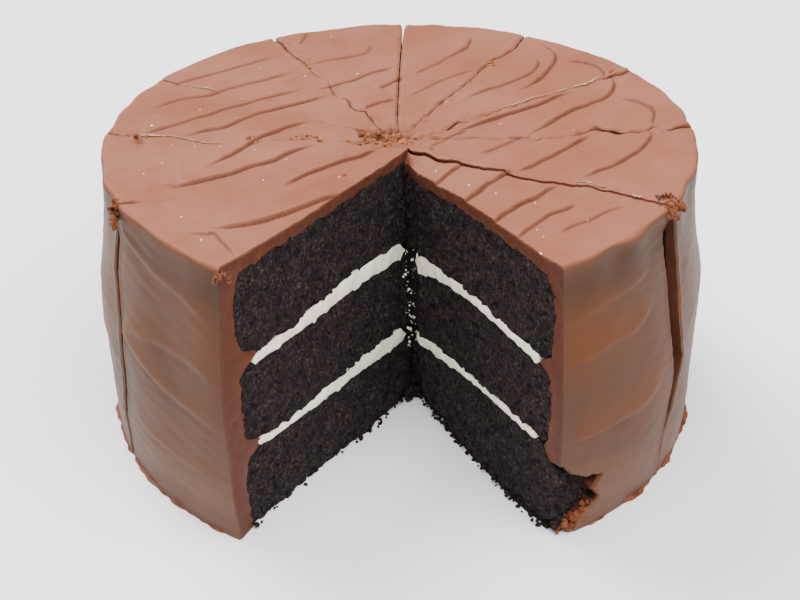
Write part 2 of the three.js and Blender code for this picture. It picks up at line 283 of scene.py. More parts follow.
# Small bits of torn frosting lying along the cuts, in plan.
LOOSE_BITS = (
    (-43, 1), (-41, 3.5), (-39, 4.5), (-37, 3.6), (-35.5, 4.6), (-34, 3), (-32.5, 1.5), (-31.5, -0.8),
    (-38, 1.8),
    (-20, -1.5), (-18, -3.5), (-14, -4.2), (-12, -2.4), (-60, 0.6), (-58, 2), (-57, -1), (-105, 2.2),
    (-101, 2.6),
    (41, 73), (39.5, 71), (42, 70), (91, 58), (92, 60), (94, 58), (51, 1.6), (-39.5, 73), (-38.5, 70),
    (-41, 76),
    (-21, -30.5), (8, -1), (10, 0), (13, -9),
)

# Curled flaps of frosting at the rim, over the side cracks: the line, the width and how far it rolls.
CURLS = (
    (((95, -53, 118), (97.5, -57, 117.6), (100.5, -58.5, 117), (104, -57, 116),
     (105.5, -57.5, 113.5)), 4.4, 0.8),
    (((94, -59, 116.6), (96.5, -62, 116.2), (100, -63.5, 115.4), (102.5, -62.5, 113.6)), 4.2, -0.6),
    (((96, -54.5, 118), (99, -54.5, 118.6), (102.5, -56, 118)), 3.2, 1.1),
    (((-104.5, -49, 117.5), (-106.5, -52, 117.4), (-107, -55.5, 116), (-106.5, -58, 113.5),
     (-106, -59, 110)), 3.6, 0.9),
    (((-105, -50, 118), (-105.5, -54, 117.5), (-104.5, -57, 115)), 3.0, -0.9),
    (((-58, -103.5, 117), (-61, -103, 116.6), (-64, -103.4, 115.4), (-65, -103.8, 112.6)), 2.2, 0.7),
)

# Lumps torn up with the curls: the first one's number, how many, their middle, how far they scatter, their
# sizes and how finely they are made.
RIM_LUMPS = (
    (0, 9, (98.8, -59, 115.4), (4.2, 3.0, 1.6), (0.8, 1.7), 8),
    (9, 5, (-106, -54.5, 114), (1.0, 3.5, 2.4), (0.8, 1.7), 8),
    (20, 7, (-62.0, -103.6, 115.4), (3.0, 0.8, 1.4), (0.4, 1.0), 7),
)

# Where frosting was squashed out along the foot, between two azimuths.
FOOT_SMEARS = ((-88, -66), (-64.5, -33.5), (35, 57), (58, 91), (93, 121), (124, 149), (152, 206), (209, 264))

# Cream that the knife dragged over the top: the line in plan and its width.
CREAM_STREAKS = (
    (((-104, 4.6), (-98, 4.4), (-93, 3.8)), 1.3),
    (((-95, 4.2), (-90, 3.2), (-84, 0.8), (-78, -1.8), (-70, -2.6)), 0.6),
    (((38, 22.5), (50, 30.6), (62, 38), (75, 46)), 0.6),
    (((74, 45.6), (80, 49.6), (86, 54)), 1.3),
    (((-88, 50.5), (-84, 48.5), (-79, 46.5), (-75, 44)), 0.6),
    (((-67, 39), (-64, 36.5)), 0.7),
    (((66, -41), (72, -43.6), (78, -46)), 0.6),
    (((86, -52.6), (90, -54.6)), 1.2),
)

# Specks of sugar on the top, in plan.
SUGAR_SPECKS = (
    (-17.5, 62), (-82, 28), (-57, -9), (-71, -5), (-90, -5), (-92, -21), (-52, -34), (-23, -32), (-71, -82),
    (28, 4), (36, -48), (50, -57), (68, -70), (49, -78), (51, -83), (49, -95), (26, -43), (92, 28), (-40, 62),
    (-98, -30), (-81, -5), (-44, -17), (-80, -64), (41, 12), (20, 34), (70, 5), (-60, 70), (-100, 12),
    (14, -30), (60, 84), (-30, 104),
)


def heading(azimuth):
    """The unit vector in plan at an azimuth, and the one a quarter turn on, towards larger azimuths."""
    turn = np.radians(azimuth)
    return np.stack([np.sin(turn), -np.cos(turn)], -1), np.stack([np.cos(turn), np.sin(turn)], -1)


def smooth(share):
    """The cubic 3s^2 - 2s^3, level at both ends."""
    share = np.clip(share, 0.0, 1.0)
    return share * share * (3 - 2 * share)


def bell(distance, width):
    """The bell curve exp(-(distance / width)^2)."""
    return np.exp(-(distance / width) ** 2)


def waves(points, size, seed, count=20):
    """Smooth unevenness of about -1..1: a sum of sine waves in random directions, each about size long."""
    draw = np.random.default_rng(seed)
    aims = draw.normal(size=(count, points.shape[-1]))
    stretch = 2 * np.pi / size * draw.uniform(0.6, 1.5, (count, 1))
    aims *= stretch / np.linalg.norm(aims, axis=1, keepdims=True)
    return np.sin(points @ aims.T + draw.uniform(0, 2 * np.pi, count)).sum(-1) / np.sqrt(count / 2) / 1.6


def grains(points, size, seed):
    """
    Lumpy unevenness of 0..1: each corner of a lattice of cubes has a value, the fraction of a large sine, and
    the values are blended smoothly between.
    """
    mixer = np.array([12.9898, 78.233, 37.719])[:points.shape[-1]]
    cell = np.floor(points / size)
    blend = smooth(points / size - cell)
    total = np.zeros(points.shape[:-1])
    for corner in np.ndindex(*(2,) * points.shape[-1]):
        value = np.sin((cell + corner) @ mixer + seed) * 43758.5453
        weight = np.where(np.array(corner, bool), blend, 1 - blend).prod(-1)
        total += weight * (value - np.floor(value))
    return total


def curve_through(corners, steps=5):
    """A smooth line through the corners: the Catmull-Rom cubic between each pair, steps to a pair."""
    knots = np.asarray(corners, float)
    padded = np.concatenate([[2 * knots[0] - knots[1]], knots, [2 * knots[-1] - knots[-2]]])
    share = np.arange(steps)[:, None] / steps
    line = [
        0.5 * (
            2 * b + (c - a) * share
            + (2 * a - 5 * b + 4 * c - d) * share**2
            + (3 * b - a - 3 * c + d) * share**3
        )
        for a, b, c, d in zip(padded, padded[1:], padded[2:], padded[3:])
    ]
    return np.concatenate([*line, knots[-1:]])


def follow(points, corners):
    """For each point, how far along a smooth line its nearest place lies (0..1), and how far to its left."""
    line = curve_through(corners)
    best = np.full(len(points), np.inf)
    along = np.zeros(len(points))
    across = np.zeros(len(points))
    for k, (start, end) in enumerate(zip(line, line[1:])):
        run = end - start
        away = points - start
        share = np.clip(away @ run / (run @ run), 0, 1)
        gap = away - share[:, None] * run
        distance = np.hypot(gap[:, 0], gap[:, 1])
        nearer = distance < best
        side = np.sign(run[0] * away[:, 1] - run[1] * away[:, 0])
        best = np.where(nearer, distance, best)
        along = np.where(nearer, (k + share) / (len(line) - 1), along)
        across = np.where(nearer, side * distance, across)
    return along, across


def ridge(points, height, reach, corners, blunt):
    """
    One spatula ridge: on the left of its line the surface rises to it as exp(-distance / reach), on the
    right it drops below the level and recovers, and the ridge fades out at both ends. Blunt is the width of
    the drop. Also two colour masks: a painted highlight along its lip and painted shade along its drop.
    """
    along, across = follow(points, corners)
    ends = smooth(along / 0.18) * smooth((1 - along) / 0.18)
    left = 0.5 + 0.5 * np.tanh(across / blunt)
    swept = left * np.exp(-np.maximum(across, 0) / reach)
    drop = (1 - left) * 0.5 * np.exp(np.minimum(across, 0) / 1.1)
    crest_highlight = ends * height * bell(across - 0.7, 0.7)
    groove_shade = ends * height * bell(across + 0.5, 0.6)
    return height * ends * (swept - drop), crest_highlight, groove_shade


def side_radius(height):
    """The radius of the frosted side: a barrel whose foot and shoulder draw in from its belly."""
    below = np.clip((BELLY_LEVEL - height) / BELLY_LEVEL, 0, 1)
    above = smooth((height - BELLY_LEVEL) / BELLY_LEVEL)
    return BELLY_RADIUS - 0.5 - FOOT_INSET * below**2 - SHOULDER_INSET * above


class Wall:
    """One side of a slice in plan: where its ray starts, its azimuth, and how the cut strays and gapes."""

    def __init__(self, origin, azimuth, top, side):
        self.origin = np.asarray(origin, float)
        self.azimuth = azimuth
        self.top = np.array(top, float).T
        self.side = np.array(side, float).T

    def shift(self, radius, height):
        """The sideways shift of the wall and half its gape. Both shrink to nothing where the cuts meet."""
        stray, gape = self.stray(radius, height)
        tip = smooth(radius / 10)
        return stray * tip, gape / 2 * tip

    def stray(self, radius, height):
        """How far sideways the cut lies and how wide it gapes, from its lines on the top and the side."""
        over = smooth((height - 111.5) / 5)
        outer = smooth((radius - 96) / 8)
        lines = []
        for row in (1, 2):
            on_top = np.interp(radius, self.top[0], self.top[row])
            at_side = np.interp(height, self.side[0], self.side[row])
            inner = np.interp(radius, self.top[0], self.top[row]) * smooth(radius / 40)
            inside = inner * 0.6 * (1 - outer) + at_side * outer
            lines.append(on_top * over + inside * (1 - over))
        return lines[0], np.maximum(lines[1], 0.02)


class NotchWall:
    """A face of the notch in plan, read like a Wall. It starts a little behind the notch's corner."""

    def __init__(self, azimuth, rows, start):
        self.azimuth = azimuth
        self.origin = NOTCH_CORNER - start * heading(azimuth)[0]
        self.start = start + 8
        self.far, *self.levels = np.array(rows, float).T

    def shift(self, radius, height):
        """The sideways shift, blended between its three levels."""
        far = radius - self.start
        top, middle, low = (np.interp(far, self.far, level) for level in self.levels)
        upper = smooth((height - 60) / 52)
        lower = smooth((26 - height) / 26)
        return middle + (top - middle) * upper + (low - middle) * lower, 0.0 * radius


WALLS = (
    [NotchWall(NOTCH_RIGHT, NOTCH_STRAY[1], 0.0)]
    + [Wall(HUB, azimuth, top, side) for azimuth, top, side, _ in CUTS]
    + [NotchWall(NOTCH_LEFT, NOTCH_STRAY[10], 4.0)]
)
SLICES = range(1, len(WALLS))
NOTCH_SLICES = (1, 10)


def tip_of(number):
    """How near to the cuts' meeting point a slice reaches. Beside the notch, tips run into each other."""
    return -0.6 if number in NOTCH_SLICES else 0.8


def ray_length(origin, aim, radius):
    """How far along a ray a circle about the axis lies. Inside a small circle the length scales evenly."""
    outer = np.maximum(radius, RAY_BASE)
    toward = (origin * aim).sum(-1)
    length = -toward + np.sqrt(toward**2 + outer**2 - (origin**2).sum(-1))
    return length * np.minimum(radius / RAY_BASE, 1.0)


def in_slice(number, radius, height, share, start_relief=0.0, end_relief=0.0):
    """
    The place in plan of a point of a slice, at a share of the way from its first wall to its second: out
    along the ray at that share to the radius, and sideways with the walls, whose reliefs stand out of the
    slice.
    """
    first, second = WALLS[number - 1], WALLS[number]
    origin = first.origin + (second.origin - first.origin) * share[:, None]
    aim, aside = heading(first.azimuth + (second.azimuth - first.azimuth) * share)
    first_stray, first_gape = first.shift(radius, height)
    second_stray, second_gape = second.shift(radius, height)
    from_first = first_stray + first_gape - start_relief
    from_second = second_stray - second_gape + end_relief
    shift = (1 - share) * from_first + share * from_second
    return origin + aim * ray_length(origin, aim, radius)[:, None] + aside * shift[:, None]


def settled(number, radius, height, share):
    """The first slice has sunk, most at its tip and beside the notch: heights shrink in proportion."""
    if number != 1:
        return height
    near_notch = 1 - 0.7 * smooth(share / 0.9)
    return height * (1 - SINK * (1 - 0.5 * smooth(share)) - TIP_SINK * bell(radius, 46) * near_notch)


def shown_relief(number, relief):
    """The relief of a slice's first and second wall: the one that stands in the notch has it, if any."""
    return relief if number == 1 else 0.0, relief if number == 10 else 0.0


def nearest_azimuth(azimuth, centre):
    """The same direction, counted so that it lies within half a turn of a centre."""
    return (azimuth - centre + 180) % 360 - 180 + centre


def top_relief(x, y):
    """
    The swept top above its mean level: the dish and lean, each spatula ridge, broad unevenness, fine drag
    marks along the strokes, the lips that the knife raised and the torn hole at the hub. Also colour masks:
    painted highlight on the ridges' lips, painted shade in their drops and in the holes, and where it tore.
    """
    points = np.stack([x, y], -1)
    radius = np.hypot(x, y)
    height = TOP_DISH * (radius / SPONGE_RADIUS) ** 2 + TOP_LEAN * y
    crest_highlight, groove_shade, torn = np.zeros((3, len(x)))
    for level, reach, corners in STROKES:
        # edge is a painted highlight on the ridge's lip, foot the painted shade along its drop.
        rise, edge, foot = ridge(points, level * 0.85, reach, corners, 0.3)
        height += rise
        crest_highlight = np.maximum(crest_highlight, edge)
        groove_shade = np.maximum(groove_shade, np.minimum(1.5 * foot, 1.0))
    along = points @ np.array([0.79, 0.61])
    across = points @ np.array([-0.61, 0.79])
    height += 0.35 * waves(points, 42, 3) + 0.12 * waves(points, 13, 4)
    height += 0.12 * waves(np.stack([along / 9, across], -1), 3.2, 5)
    for azimuth, line, _, lip in CUTS:
        aim, aside = heading(azimuth)
        away = points - HUB
        distance = away @ aim
        stray = np.interp(distance, [p[0] for p in line], [p[1] for p in line])
        gape = np.interp(distance, [p[0] for p in line], [p[2] for p in line])
        beside = np.abs(away @ aside - stray) - gape / 2
        on_cut = (distance > 3) * smooth(gape / 0.6 + 0.25)
        lump = 0.6 + 0.8 * waves(points, 9, int(azimuth))
        height += on_cut * lip * lump * bell(beside - 1.0, 1.5) - 0.5 * on_cut * bell(beside, 0.7)
        patchy = np.clip(0.35 + 0.9 * waves(points, 12, 7 + int(azimuth)), 0, 1)
        torn = np.maximum(torn, 0.8 * on_cut * bell(beside, 0.8) * patchy)
    hub_far = np.hypot(x + 2, y - 1)
    rough = grains(points, 2.2, 11) + 0.6 * grains(points, 1.1, 12) - 0.8
    around = bell(hub_far, 11) * smooth((y + 9) / 5)
    height += 1.9 * rough * around
    for across_x, along_y, size, depth in HOLES:
        far = np.hypot(x - across_x, y - along_y)
        height -= depth * bell(far, size)
        # Painted shade in the torn holes, through the same mark as the ridges' drops.
        groove_shade = np.maximum(groove_shade, depth / 3 * bell(far, size))
    torn = np.maximum(torn, bell(hub_far, 9) * np.clip(rough + 0.5, 0, 1))
    return height, np.clip(crest_highlight, 0, 1), np.clip(groove_shade, 0, 2), np.clip(torn, 0, 1)


def side_relief(azimuth, height):
    """
    The swept side out of its barrel: each band's ridge, broad unevenness, fine marks round the cake, and
    lips along the cracks. Also masks: painted highlight on band lips, painted shade under them, and torn.
    """
    points = np.stack([np.radians(azimuth) * BELLY_RADIUS, height], -1)
    rise = 0.35 * waves(points, 55, 21)
    rise = rise + 0.10 * waves(points / [3.5, 1], 6, 22) + 0.05 * waves(points / [9, 1], 2.4, 23)
    crest_highlight, groove_shade, torn = np.zeros((3, len(azimuth)))
    for level, reach, corners in BANDS:
        middle = corners[len(corners) // 2][0]
        turned = nearest_azimuth(azimuth, middle)
        flat = np.stack([np.radians(turned) * BELLY_RADIUS, height], -1)
        line = [(math.radians(a) * BELLY_RADIUS, h) for a, h in corners]
        # edge is a painted highlight on the band's lip, foot the painted shade along its drop.
        step, edge, foot = ridge(flat, level * 1.15, reach, line, 0.9)
        rise += step
        crest_highlight = np.maximum(crest_highlight, edge)
        groove_shade = np.maximum(groove_shade, 0.8 * foot)
    for middle, _, line, _ in CUTS:
        beside = np.radians(nearest_azimuth(azimuth, middle) - middle) * BELLY_RADIUS
        stray = np.interp(height, [p[0] for p in line], [p[1] for p in line])
        gape = np.interp(height, [p[0] for p in line], [p[2] for p in line])
        edge = np.abs(beside - stray) - gape / 2
        rise += 0.25 * bell(edge - 1.2, 1.4) - 0.5 * bell(edge, 0.6)
        torn = np.maximum(torn, 0.8 * bell(edge, 0.8) * np.clip(0.3 + waves(points, 10, 31), 0, 1))
    return rise, np.clip(crest_highlight, 0, 1), np.clip(groove_shade, 0, 1), np.clip(torn, 0, 1)


def inside_outline(x, y, outline):
    """How far inside a closed outline each point is: the least distance to its edges, negative outside."""
    points = np.stack([x, y], -1)
    corners = np.asarray(outline, float)
    least = np.full(len(x), np.inf)
    within = np.zeros(len(x), bool)
    for start, end in zip(corners, np.roll(corners, -1, 0)):
        run = end - start
        away = points - start
        share = np.clip(away @ run / (run @ run), 0, 1)
        gap = away - share[:, None] * run
        least = np.minimum(least, np.hypot(gap[:, 0], gap[:, 1]))
        rises = (start[1] > y) != (end[1] > y)
        span = np.where(end[1] == start[1], 1e-9, end[1] - start[1])
        within ^= rises & (x < (end[0] - start[0]) * (y - start[1]) / span + start[0])
    return np.where(within, least, -least)


def chipped(azimuth, height):
    """How much of the frosting is broken away: 1 well inside the chip, 0 outside, with a ragged edge."""
    mm_per_degree = math.radians(1) * BELLY_RADIUS
    outline = [(a * mm_per_degree, h) for a, h in CHIP]
    x = nearest_azimuth(azimuth, 30) * mm_per_degree
    ragged = 1.0 * (grains(np.stack([x, height], -1), 3.2, 41) - 0.5)
    return smooth((inside_outline(x, height, outline) + ragged) / 1.8 + 0.35)


def block(counts, place):
    """
    The closed skin of a block of space. The block is a lattice of shares (u, v, w) of 0..1, place gives a
    point for each share on its six sides, and neighbouring sides share the points along their edges.
    """
    steps = np.meshgrid(*(np.arange(count + 1) for count in counts), indexing="ij")
    skin = np.zeros(steps[0].shape, bool)
    for step, count in zip(steps, counts):
        skin |= (step == 0) | (step == count)
    number = np.full(skin.shape, -1)
    number[skin] = np.arange(skin.sum())
    points = place(*(step[skin] / count for step, count in zip(steps, counts)))

    def sheet(grid, turned):
        """The quads of one side of the lattice."""
        quads = np.stack([grid[:-1, :-1], grid[1:, :-1], grid[1:, 1:], grid[:-1, 1:]], -1).reshape(-1, 4)
        return quads[:, ::-1] if turned else quads

    faces = np.concatenate([
        sheet(number[0], True), sheet(number[-1], False),
        sheet(number[:, 0], False), sheet(number[:, -1], True),
        sheet(number[:, :, 0], True), sheet(number[:, :, -1], False),
    ])
    return points, faces


def facing_out(points, faces):
    """The faces turned so that the skin's signed volume, a sum of corner tetrahedra, is positive."""
    a, b, c, d = (points[faces[:, k]] for k in range(4))
    volume = (a * np.cross(b, c)).sum() + (a * np.cross(c, d)).sum()
    return faces if volume > 0 else faces[:, ::-1]


def join(parts):
    """Several skins as one list of points and one of faces."""
    points = np.concatenate([p for p, _ in parts])
    starts = np.cumsum([0] + [len(p) for p, _ in parts[:-1]])
    faces = np.concatenate([facing_out(p, f) + start for (p, f), start in zip(parts, starts)])
    return points, faces


def make_piece(name, points, faces, finish, slot, stands_for=(), marks=None, sharp=50, turned=True):
    """Puts a skin, in millimetres from the cake's axis, into a named object that rides on the root body."""
    faces = facing_out(points, faces) if turned else faces
    placed = np.clip((points + [0, AXIS_Y, 0]) * MM, *(np.array(corner) for corner in CAD_BOX))
    mesh = bpy.data.meshes.new(name)
    mesh.vertices.add(len(placed))
    mesh.vertices.foreach_set("co", placed.astype(np.float32).ravel())
    mesh.loops.add(faces.size)
    mesh.loops.foreach_set("vertex_index", faces.astype(np.int32).ravel())
    mesh.polygons.add(len(faces))
    mesh.polygons.foreach_set("loop_start", np.arange(0, faces.size, 4, dtype=np.int32))
    mesh.update(calc_edges=True)
    if mesh.validate():
        raise RuntimeError(f"{name} has broken faces")
    mesh.shade_smooth()
    mesh.set_sharp_from_angle(angle=math.radians(sharp))
    for mark, values in (marks or {}).items():
        layer = mesh.attributes.new(mark, "FLOAT", "POINT")
        layer.data.foreach_set("value", values.astype(np.float32))
    mesh.materials.append(finish)
    piece = bpy.data.objects.new(name, mesh)
    bpy.context.scene.collection.objects.link(piece)
    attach(piece, "root")
    if stands_for:
        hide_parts(*stands_for)
    return piece


def spread(share):
    """Shares of the way across a slice, closer together near its walls."""
    return 0.6 * share + 0.4 * (0.5 - 0.5 * np.cos(np.pi * share))


def rounded_profile(s, tip, azimuth):
    """
    The jacket's outer line from the tip over the rim to the foot, as radius, height and tilt (0 flat, 1
    upright): level to the rim, a quarter ellipse, then down the barrel. The rim is rounder and drawn in to
    the right of the notch. The three stretches are TOP_SHARE, RIM_SHARE and the rest.
    """
    softer = bell(nearest_azimuth(azimuth, 45) - 45, 26)
    wide = RIM_ROUND + 0.6 * softer
    rim_height = TOP_MIDDLE - RIM_ROUND - 0.4 * softer
    flare = 4.0 * bell(nearest_azimuth(azimuth, 327) - 327, 8)
    inner = side_radius(rim_height) - wide - softer + flare
    over = np.clip(s / TOP_SHARE, 0, 1)
    turn = np.clip((s - TOP_SHARE) / RIM_SHARE, 0, 1) * np.pi / 2
    down = np.clip((s - TOP_SHARE - RIM_SHARE) / (1 - TOP_SHARE - RIM_SHARE), 0, 1)
    radius = np.where(s <= TOP_SHARE, tip + (inner - tip) * over, inner + wide * np.sin(turn))
    height = rim_height + (TOP_MIDDLE - rim_height) * np.cos(turn)
    upper = 1 - smooth(down / 0.6)
    flare = flare * (1 - 0.7 * smooth(down))
    radius = np.where(down > 0, side_radius(rim_height * (1 - down)) - softer * upper + flare, radius)
    height = np.where(down > 0, rim_height * (1 - down), height)
    return radius, height, np.sin(turn)


TOP_STEPS, RIM_STEPS, SIDE_STEPS = 200, 7, 84
PROFILE_STEPS = TOP_STEPS + RIM_STEPS + SIDE_STEPS
JACKET_STEPS = (6, 72)
TOP_SHARE = TOP_STEPS / PROFILE_STEPS
RIM_SHARE = RIM_STEPS / PROFILE_STEPS


def inner_wall(number, height, share):
    """The radius of the frosting's inner wall: the sponges' edge, with a bell pushed in at each filling."""
    points = np.stack([height, share * 40 + 60 * number], -1)
    wall = SPONGE_RADIUS + 0.9 * waves(points, 17, 51) + 0.5 * waves(points, 5, 52)
    levels = {1: (74.0, 38.0), 10: (75.0, 36.0)}.get(number, (UPPER_CREAM[0] + 2.5, LOWER_CREAM[0] + 2.5))
    for level, deep in zip(levels, (7.0, 3.0) if number == 1 else (9.5, 8.5)):
        wall = wall - deep * bell(height - level, 3.2) - 0.17 * deep * bell(height - level, 8)
    wall = wall - 3.4 * smooth((height - 103) / 9)
    if number == 1:
        wall = wall - 1.8 * smooth((height - 80) / 10)
    return wall


def underside(number, radius, share):
    """The level of the top coat's underside, where it lies on the sponge."""
    points = np.stack([radius, share * 40 + 60 * number], -1)
    return SPONGE_TOP - 0.2 + 0.5 * waves(points, 15, 53) + 0.35 * waves(points, 4, 54)


def frosting_jacket(number):
    """
    One slice's frosting as a closed block bent over its sponge. u runs from the tip over the rim to the
    foot, v from the inner face to the outer face, and w from wall to wall. The outer face carries the
    reliefs, and marks stored on its points tell the finish what is cut or torn and where to paint
    highlight on lips and rim, shade in grooves and under the rim, and the table's reflection low down.
    """
    masks = {}
    tip = tip_of(number)
    first, second = WALLS[number - 1], WALLS[number]

    def place(u, v, w):
        share = spread(w)
        turned = first.azimuth + (second.azimuth - first.azimuth) * share
        out_radius, out_height, tilt = rounded_profile(u, tip, turned)
        over = np.clip(u / TOP_SHARE, 0, 1)
        down = np.clip((u - TOP_SHARE - RIM_SHARE) / (1 - TOP_SHARE - RIM_SHARE), 0, 1)
        low = (SPONGE_TOP - 1) * (1 - down)
        corner = inner_wall(number, 0 * low + SPONGE_TOP - 1, share)
        in_radius = np.where(down > 0, inner_wall(number, low, share), tip + (corner - tip) * over)
        coat = underside(number, in_radius, share)
        in_height = np.where(down > 0, low, coat + (SPONGE_TOP - 1 - coat) * smooth((over - 0.95) / 0.05))
        xy = in_slice(number, out_radius, out_height, share)
        azimuth = np.degrees(np.arctan2(xy[:, 0], -xy[:, 1]))
        outer = v > 0
        top, side = np.zeros((2, 4, len(u)))
        top[:, outer] = top_relief(*xy[outer].T)
        side[:, outer] = side_relief(azimuth[outer], out_height[outer])
        rise, bulge = top[0], side[0]
        crest_highlight, groove_shade, torn = top[1:] * (1 - tilt) + side[1:] * tilt
        rim = np.stack([np.radians(azimuth) * BELLY_RADIUS, 0 * azimuth], -1)
        sag = (1 - down) * tilt * (0.6 * waves(rim, 30, 61) + TOP_DISH + TOP_LEAN * xy[:, 1])
        broken = chipped(azimuth, out_height) * (tilt > 0.5) if number == 1 else 0.0 * u
        out_height = out_height + rise * (1 - tilt) + sag
        wander = 0.5 * waves(rim, 26, 62) * smooth((out_height - 90) / 25) * over
        out_radius = out_radius + bulge * tilt + wander
        out_radius = out_radius * (1 - broken) + (in_radius + 0.3) * broken
        radius = in_radius + (out_radius - in_radius) * v
        height = in_height + (out_height - in_height) * v
        edge = 4 * v * (1 - v)
        grid = np.stack([radius, height], -1)
        relief = (0.25 + 0.25 * waves(grid, 6, 71 + number) + 0.12 * waves(grid, 1.8, 72)) * edge
        shrink = np.maximum(broken, bell(height - 4, 30) * (broken > 0.02))
        starts = relief - 3.0 * shrink * bell(share, 0.06) if number == 1 else 0.0
        xy = in_slice(number, radius, height, share, starts, relief if number == 10 else 0.0)
        tall = settled(number, radius, height, share)
        face = v == 1
        # Painted highlight on the lips and painted shade in the grooves, kept as marks for the finish.
        masks["crest_highlight"] = crest_highlight * face
        masks["groove_shade"] = groove_shade * face
        masks["torn"] = torn * face
        # Painted shade: a darker band on the side just under the rim.
        masks["shade"] = smooth(down / 0.03) * bell((out_height - 108) / 9, 1)
        # Painted highlight along the rim's turn, in the same pale colour as the ridges' lips.
        masks["rim"] = bell((u - TOP_SHARE - RIM_SHARE / 3) * PROFILE_STEPS, 3) * face
        masks["cut"] = ((w == 0) | (w == 1)) & (v < 1)
        masks["deep"] = 1 - v
        masks["upright"] = tilt
        # Painted shade: hollows between the side's bands greyer, their swells warmer.
        masks["swell_shade"] = np.clip(0.35 + 0.55 * bulge, 0, 1)
        masks["bare"] = broken * face
        # Partly painted reflection of the white table: the side paler and greyer towards its foot.
        masks["low"] = tilt * (1 - smooth(out_height / 62))
        return np.concatenate([xy, tall[:, None]], -1)

    points, faces = block((PROFILE_STEPS, *JACKET_STEPS), place)
    return points, faces, masks


def filling_lines(number, name, radius, share):
    """
    A filling's underside and top: flat below and thinning outwards inside the cake, turning into the lines
    that show in the notch as it nears that wall.
    """
    low, high = {"lower": LOWER_CREAM, "upper": UPPER_CREAM}[name]
    thin = 3.3 * smooth(radius / CREAM_RADIUS)
    bottom = np.full_like(radius, low)
    top = high - thin
    if (number, name) in FILLING_LINES:
        far, shown_low, shown_high = np.array(FILLING_LINES[number, name]).T
        outward = radius - 8 * smooth(radius / 60)
        near = smooth(1 - (share if number == 1 else 1 - share) / 0.5)
        bottom = bottom + (np.interp(outward, far, shown_low) - bottom) * near
        top = top + (np.interp(outward, far, shown_high) - top) * near
    return bottom, top


# How far a sponge runs into the filling above or below it, so that no gap shows.
OVERLAP = 0.5


def crumb(points, seed):
    """Open crumb: lumps at three sizes, with the deep ends of the larger ones drawn into pores."""
    lumps = 0.8 * grains(points, 3.1, seed)
    lumps = lumps + 0.5 * grains(points, 1.5, seed + 1) + 0.3 * grains(points, 0.8, seed + 2)
    pores = smooth((0.38 - grains(points, 2.1, seed + 3)) / 0.2)
    return lumps - 0.8 - 0.9 * pores


def sponge_layer(number, layer):
    """
    One sponge as a closed block: u runs out from the tip, v up from its underside and w from wall to wall.
    Its edge is rounded above and below, and a wall that shows in the notch is open crumb.
    """
    below, above = {"bottom": (None, "lower"), "middle": ("lower", "upper"), "top": ("upper", None)}[layer]
    shown = number in NOTCH_SLICES
    tip = tip_of(number)
    seed = 100 * number + {"bottom": 10, "middle": 20, "top": 30}[layer]

    def place(u, v, w):
        radius = tip + (SPONGE_RADIUS - tip) * u
        floor = 0 * radius
        ceiling = underside(number, radius, w) + 0.4
        if below:
            floor = filling_lines(number, below, radius, w)[1] - OVERLAP
        if above:
            ceiling = filling_lines(number, above, radius, w)[0] + OVERLAP
        height = floor + (ceiling - floor) * v
        corner = np.abs(2 * v - 1) ** 8
        if layer == "top":
            corner = np.where(v > 0.5, 0.2 * corner, corner)
        edge = inner_wall(number, height, w) + 0.6 - SPONGE_RADIUS - 2.0 * corner
        radius = radius + edge * smooth((u - 0.85) / 0.15)
        grid = np.stack([radius, height], -1)
        relief = 0.0 * radius
        if shown:
            relief = 0.95 * crumb(grid, seed) + 0.35 * waves(grid, 24, seed + 5)
            near_table = smooth((7 - height) / 6) if layer == "bottom" else 0.0
            inner = smooth(1.15 - radius / 75) * (3.4 if number == 1 else 1.0)
            relief = relief - near_table * (0.5 + inner * grains(grid[:, :1], 7.0, seed + 6))
        xy = in_slice(number, radius, height, w, *shown_relief(number, relief))
        if number == 1 and layer == "bottom":
            azimuth = np.degrees(np.arctan2(xy[:, 0], -xy[:, 1]))
            bare = chipped(azimuth, height) * smooth((radius - 100) / 12)
            flat = np.stack([np.radians(azimuth) * BELLY_RADIUS, height], -1)
            rough = 1.5 * crumb(flat, seed + 7) + 4.4 * (grains(flat, 5.0, seed + 8) - 0.45)
            pushed = 1 + bare * (2.6 + rough) / SPONGE_RADIUS
            xy = xy * pushed[:, None]
        tall = settled(number, radius, height, w)
        return np.concatenate([xy, tall[:, None]], -1)

    across = 56 if (number, layer) == (1, "bottom") else 12
    counts = (214, 60, across) if shown else (56, 14, 12)
    return block(counts, place)


def cream_filling(number, name):
    """
    One filling as a closed block: u runs out from the tip, v up and w from wall to wall. At the notch it
    stands a little proud and its lines are ragged, the lower one most, where the knife dragged cream over
    the crumb.
    """
    shown = number in NOTCH_SLICES
    tip = {1: 12.5, 10: 6.0}.get(number, 0.8)
    seed = 300 + 10 * number + (5 if name == "upper" else 0)

    def place(u, v, w):
        end = CREAM_RADIUS + 1.2 - 2.0 * np.abs(2 * v - 1) ** 3
        radius = tip + (end - tip) * u
        low, high = filling_lines(number, name, radius, w)
        line = radius[:, None]
        if shown:
            near = smooth(1 - (w if number == 1 else 1 - w) / 0.1)
            drag = 0.9 * np.clip(waves(line, 9, seed) - 0.35, 0, 1) + 0.3 * grains(line, 1.2, seed + 1)
            low = low - near * drag
            ragged = 0.25 * waves(line, 11, seed + 2) + 0.2 * (grains(line, 1.5, seed + 3) - 0.5)
            high = high + near * ragged
        pinch = 0.2 + 0.8 * smooth((radius - tip) / 4) if shown else 1.0
        height = low + (high - low) * (0.35 + (v - 0.35) * pinch)
        grid = np.stack([radius, height], -1)
        relief = 0.5 + 0.18 * waves(grid, 7, seed + 4) - 0.5 * np.abs(2 * v - 1) ** 4
        xy = in_slice(number, radius, height, w, *shown_relief(number, relief))
        tall = settled(number, radius, height, w)
        return np.concatenate([xy, tall[:, None]], -1)

    counts = (230, 12, 14) if shown else (52, 6, 10)
    return block(counts, place)


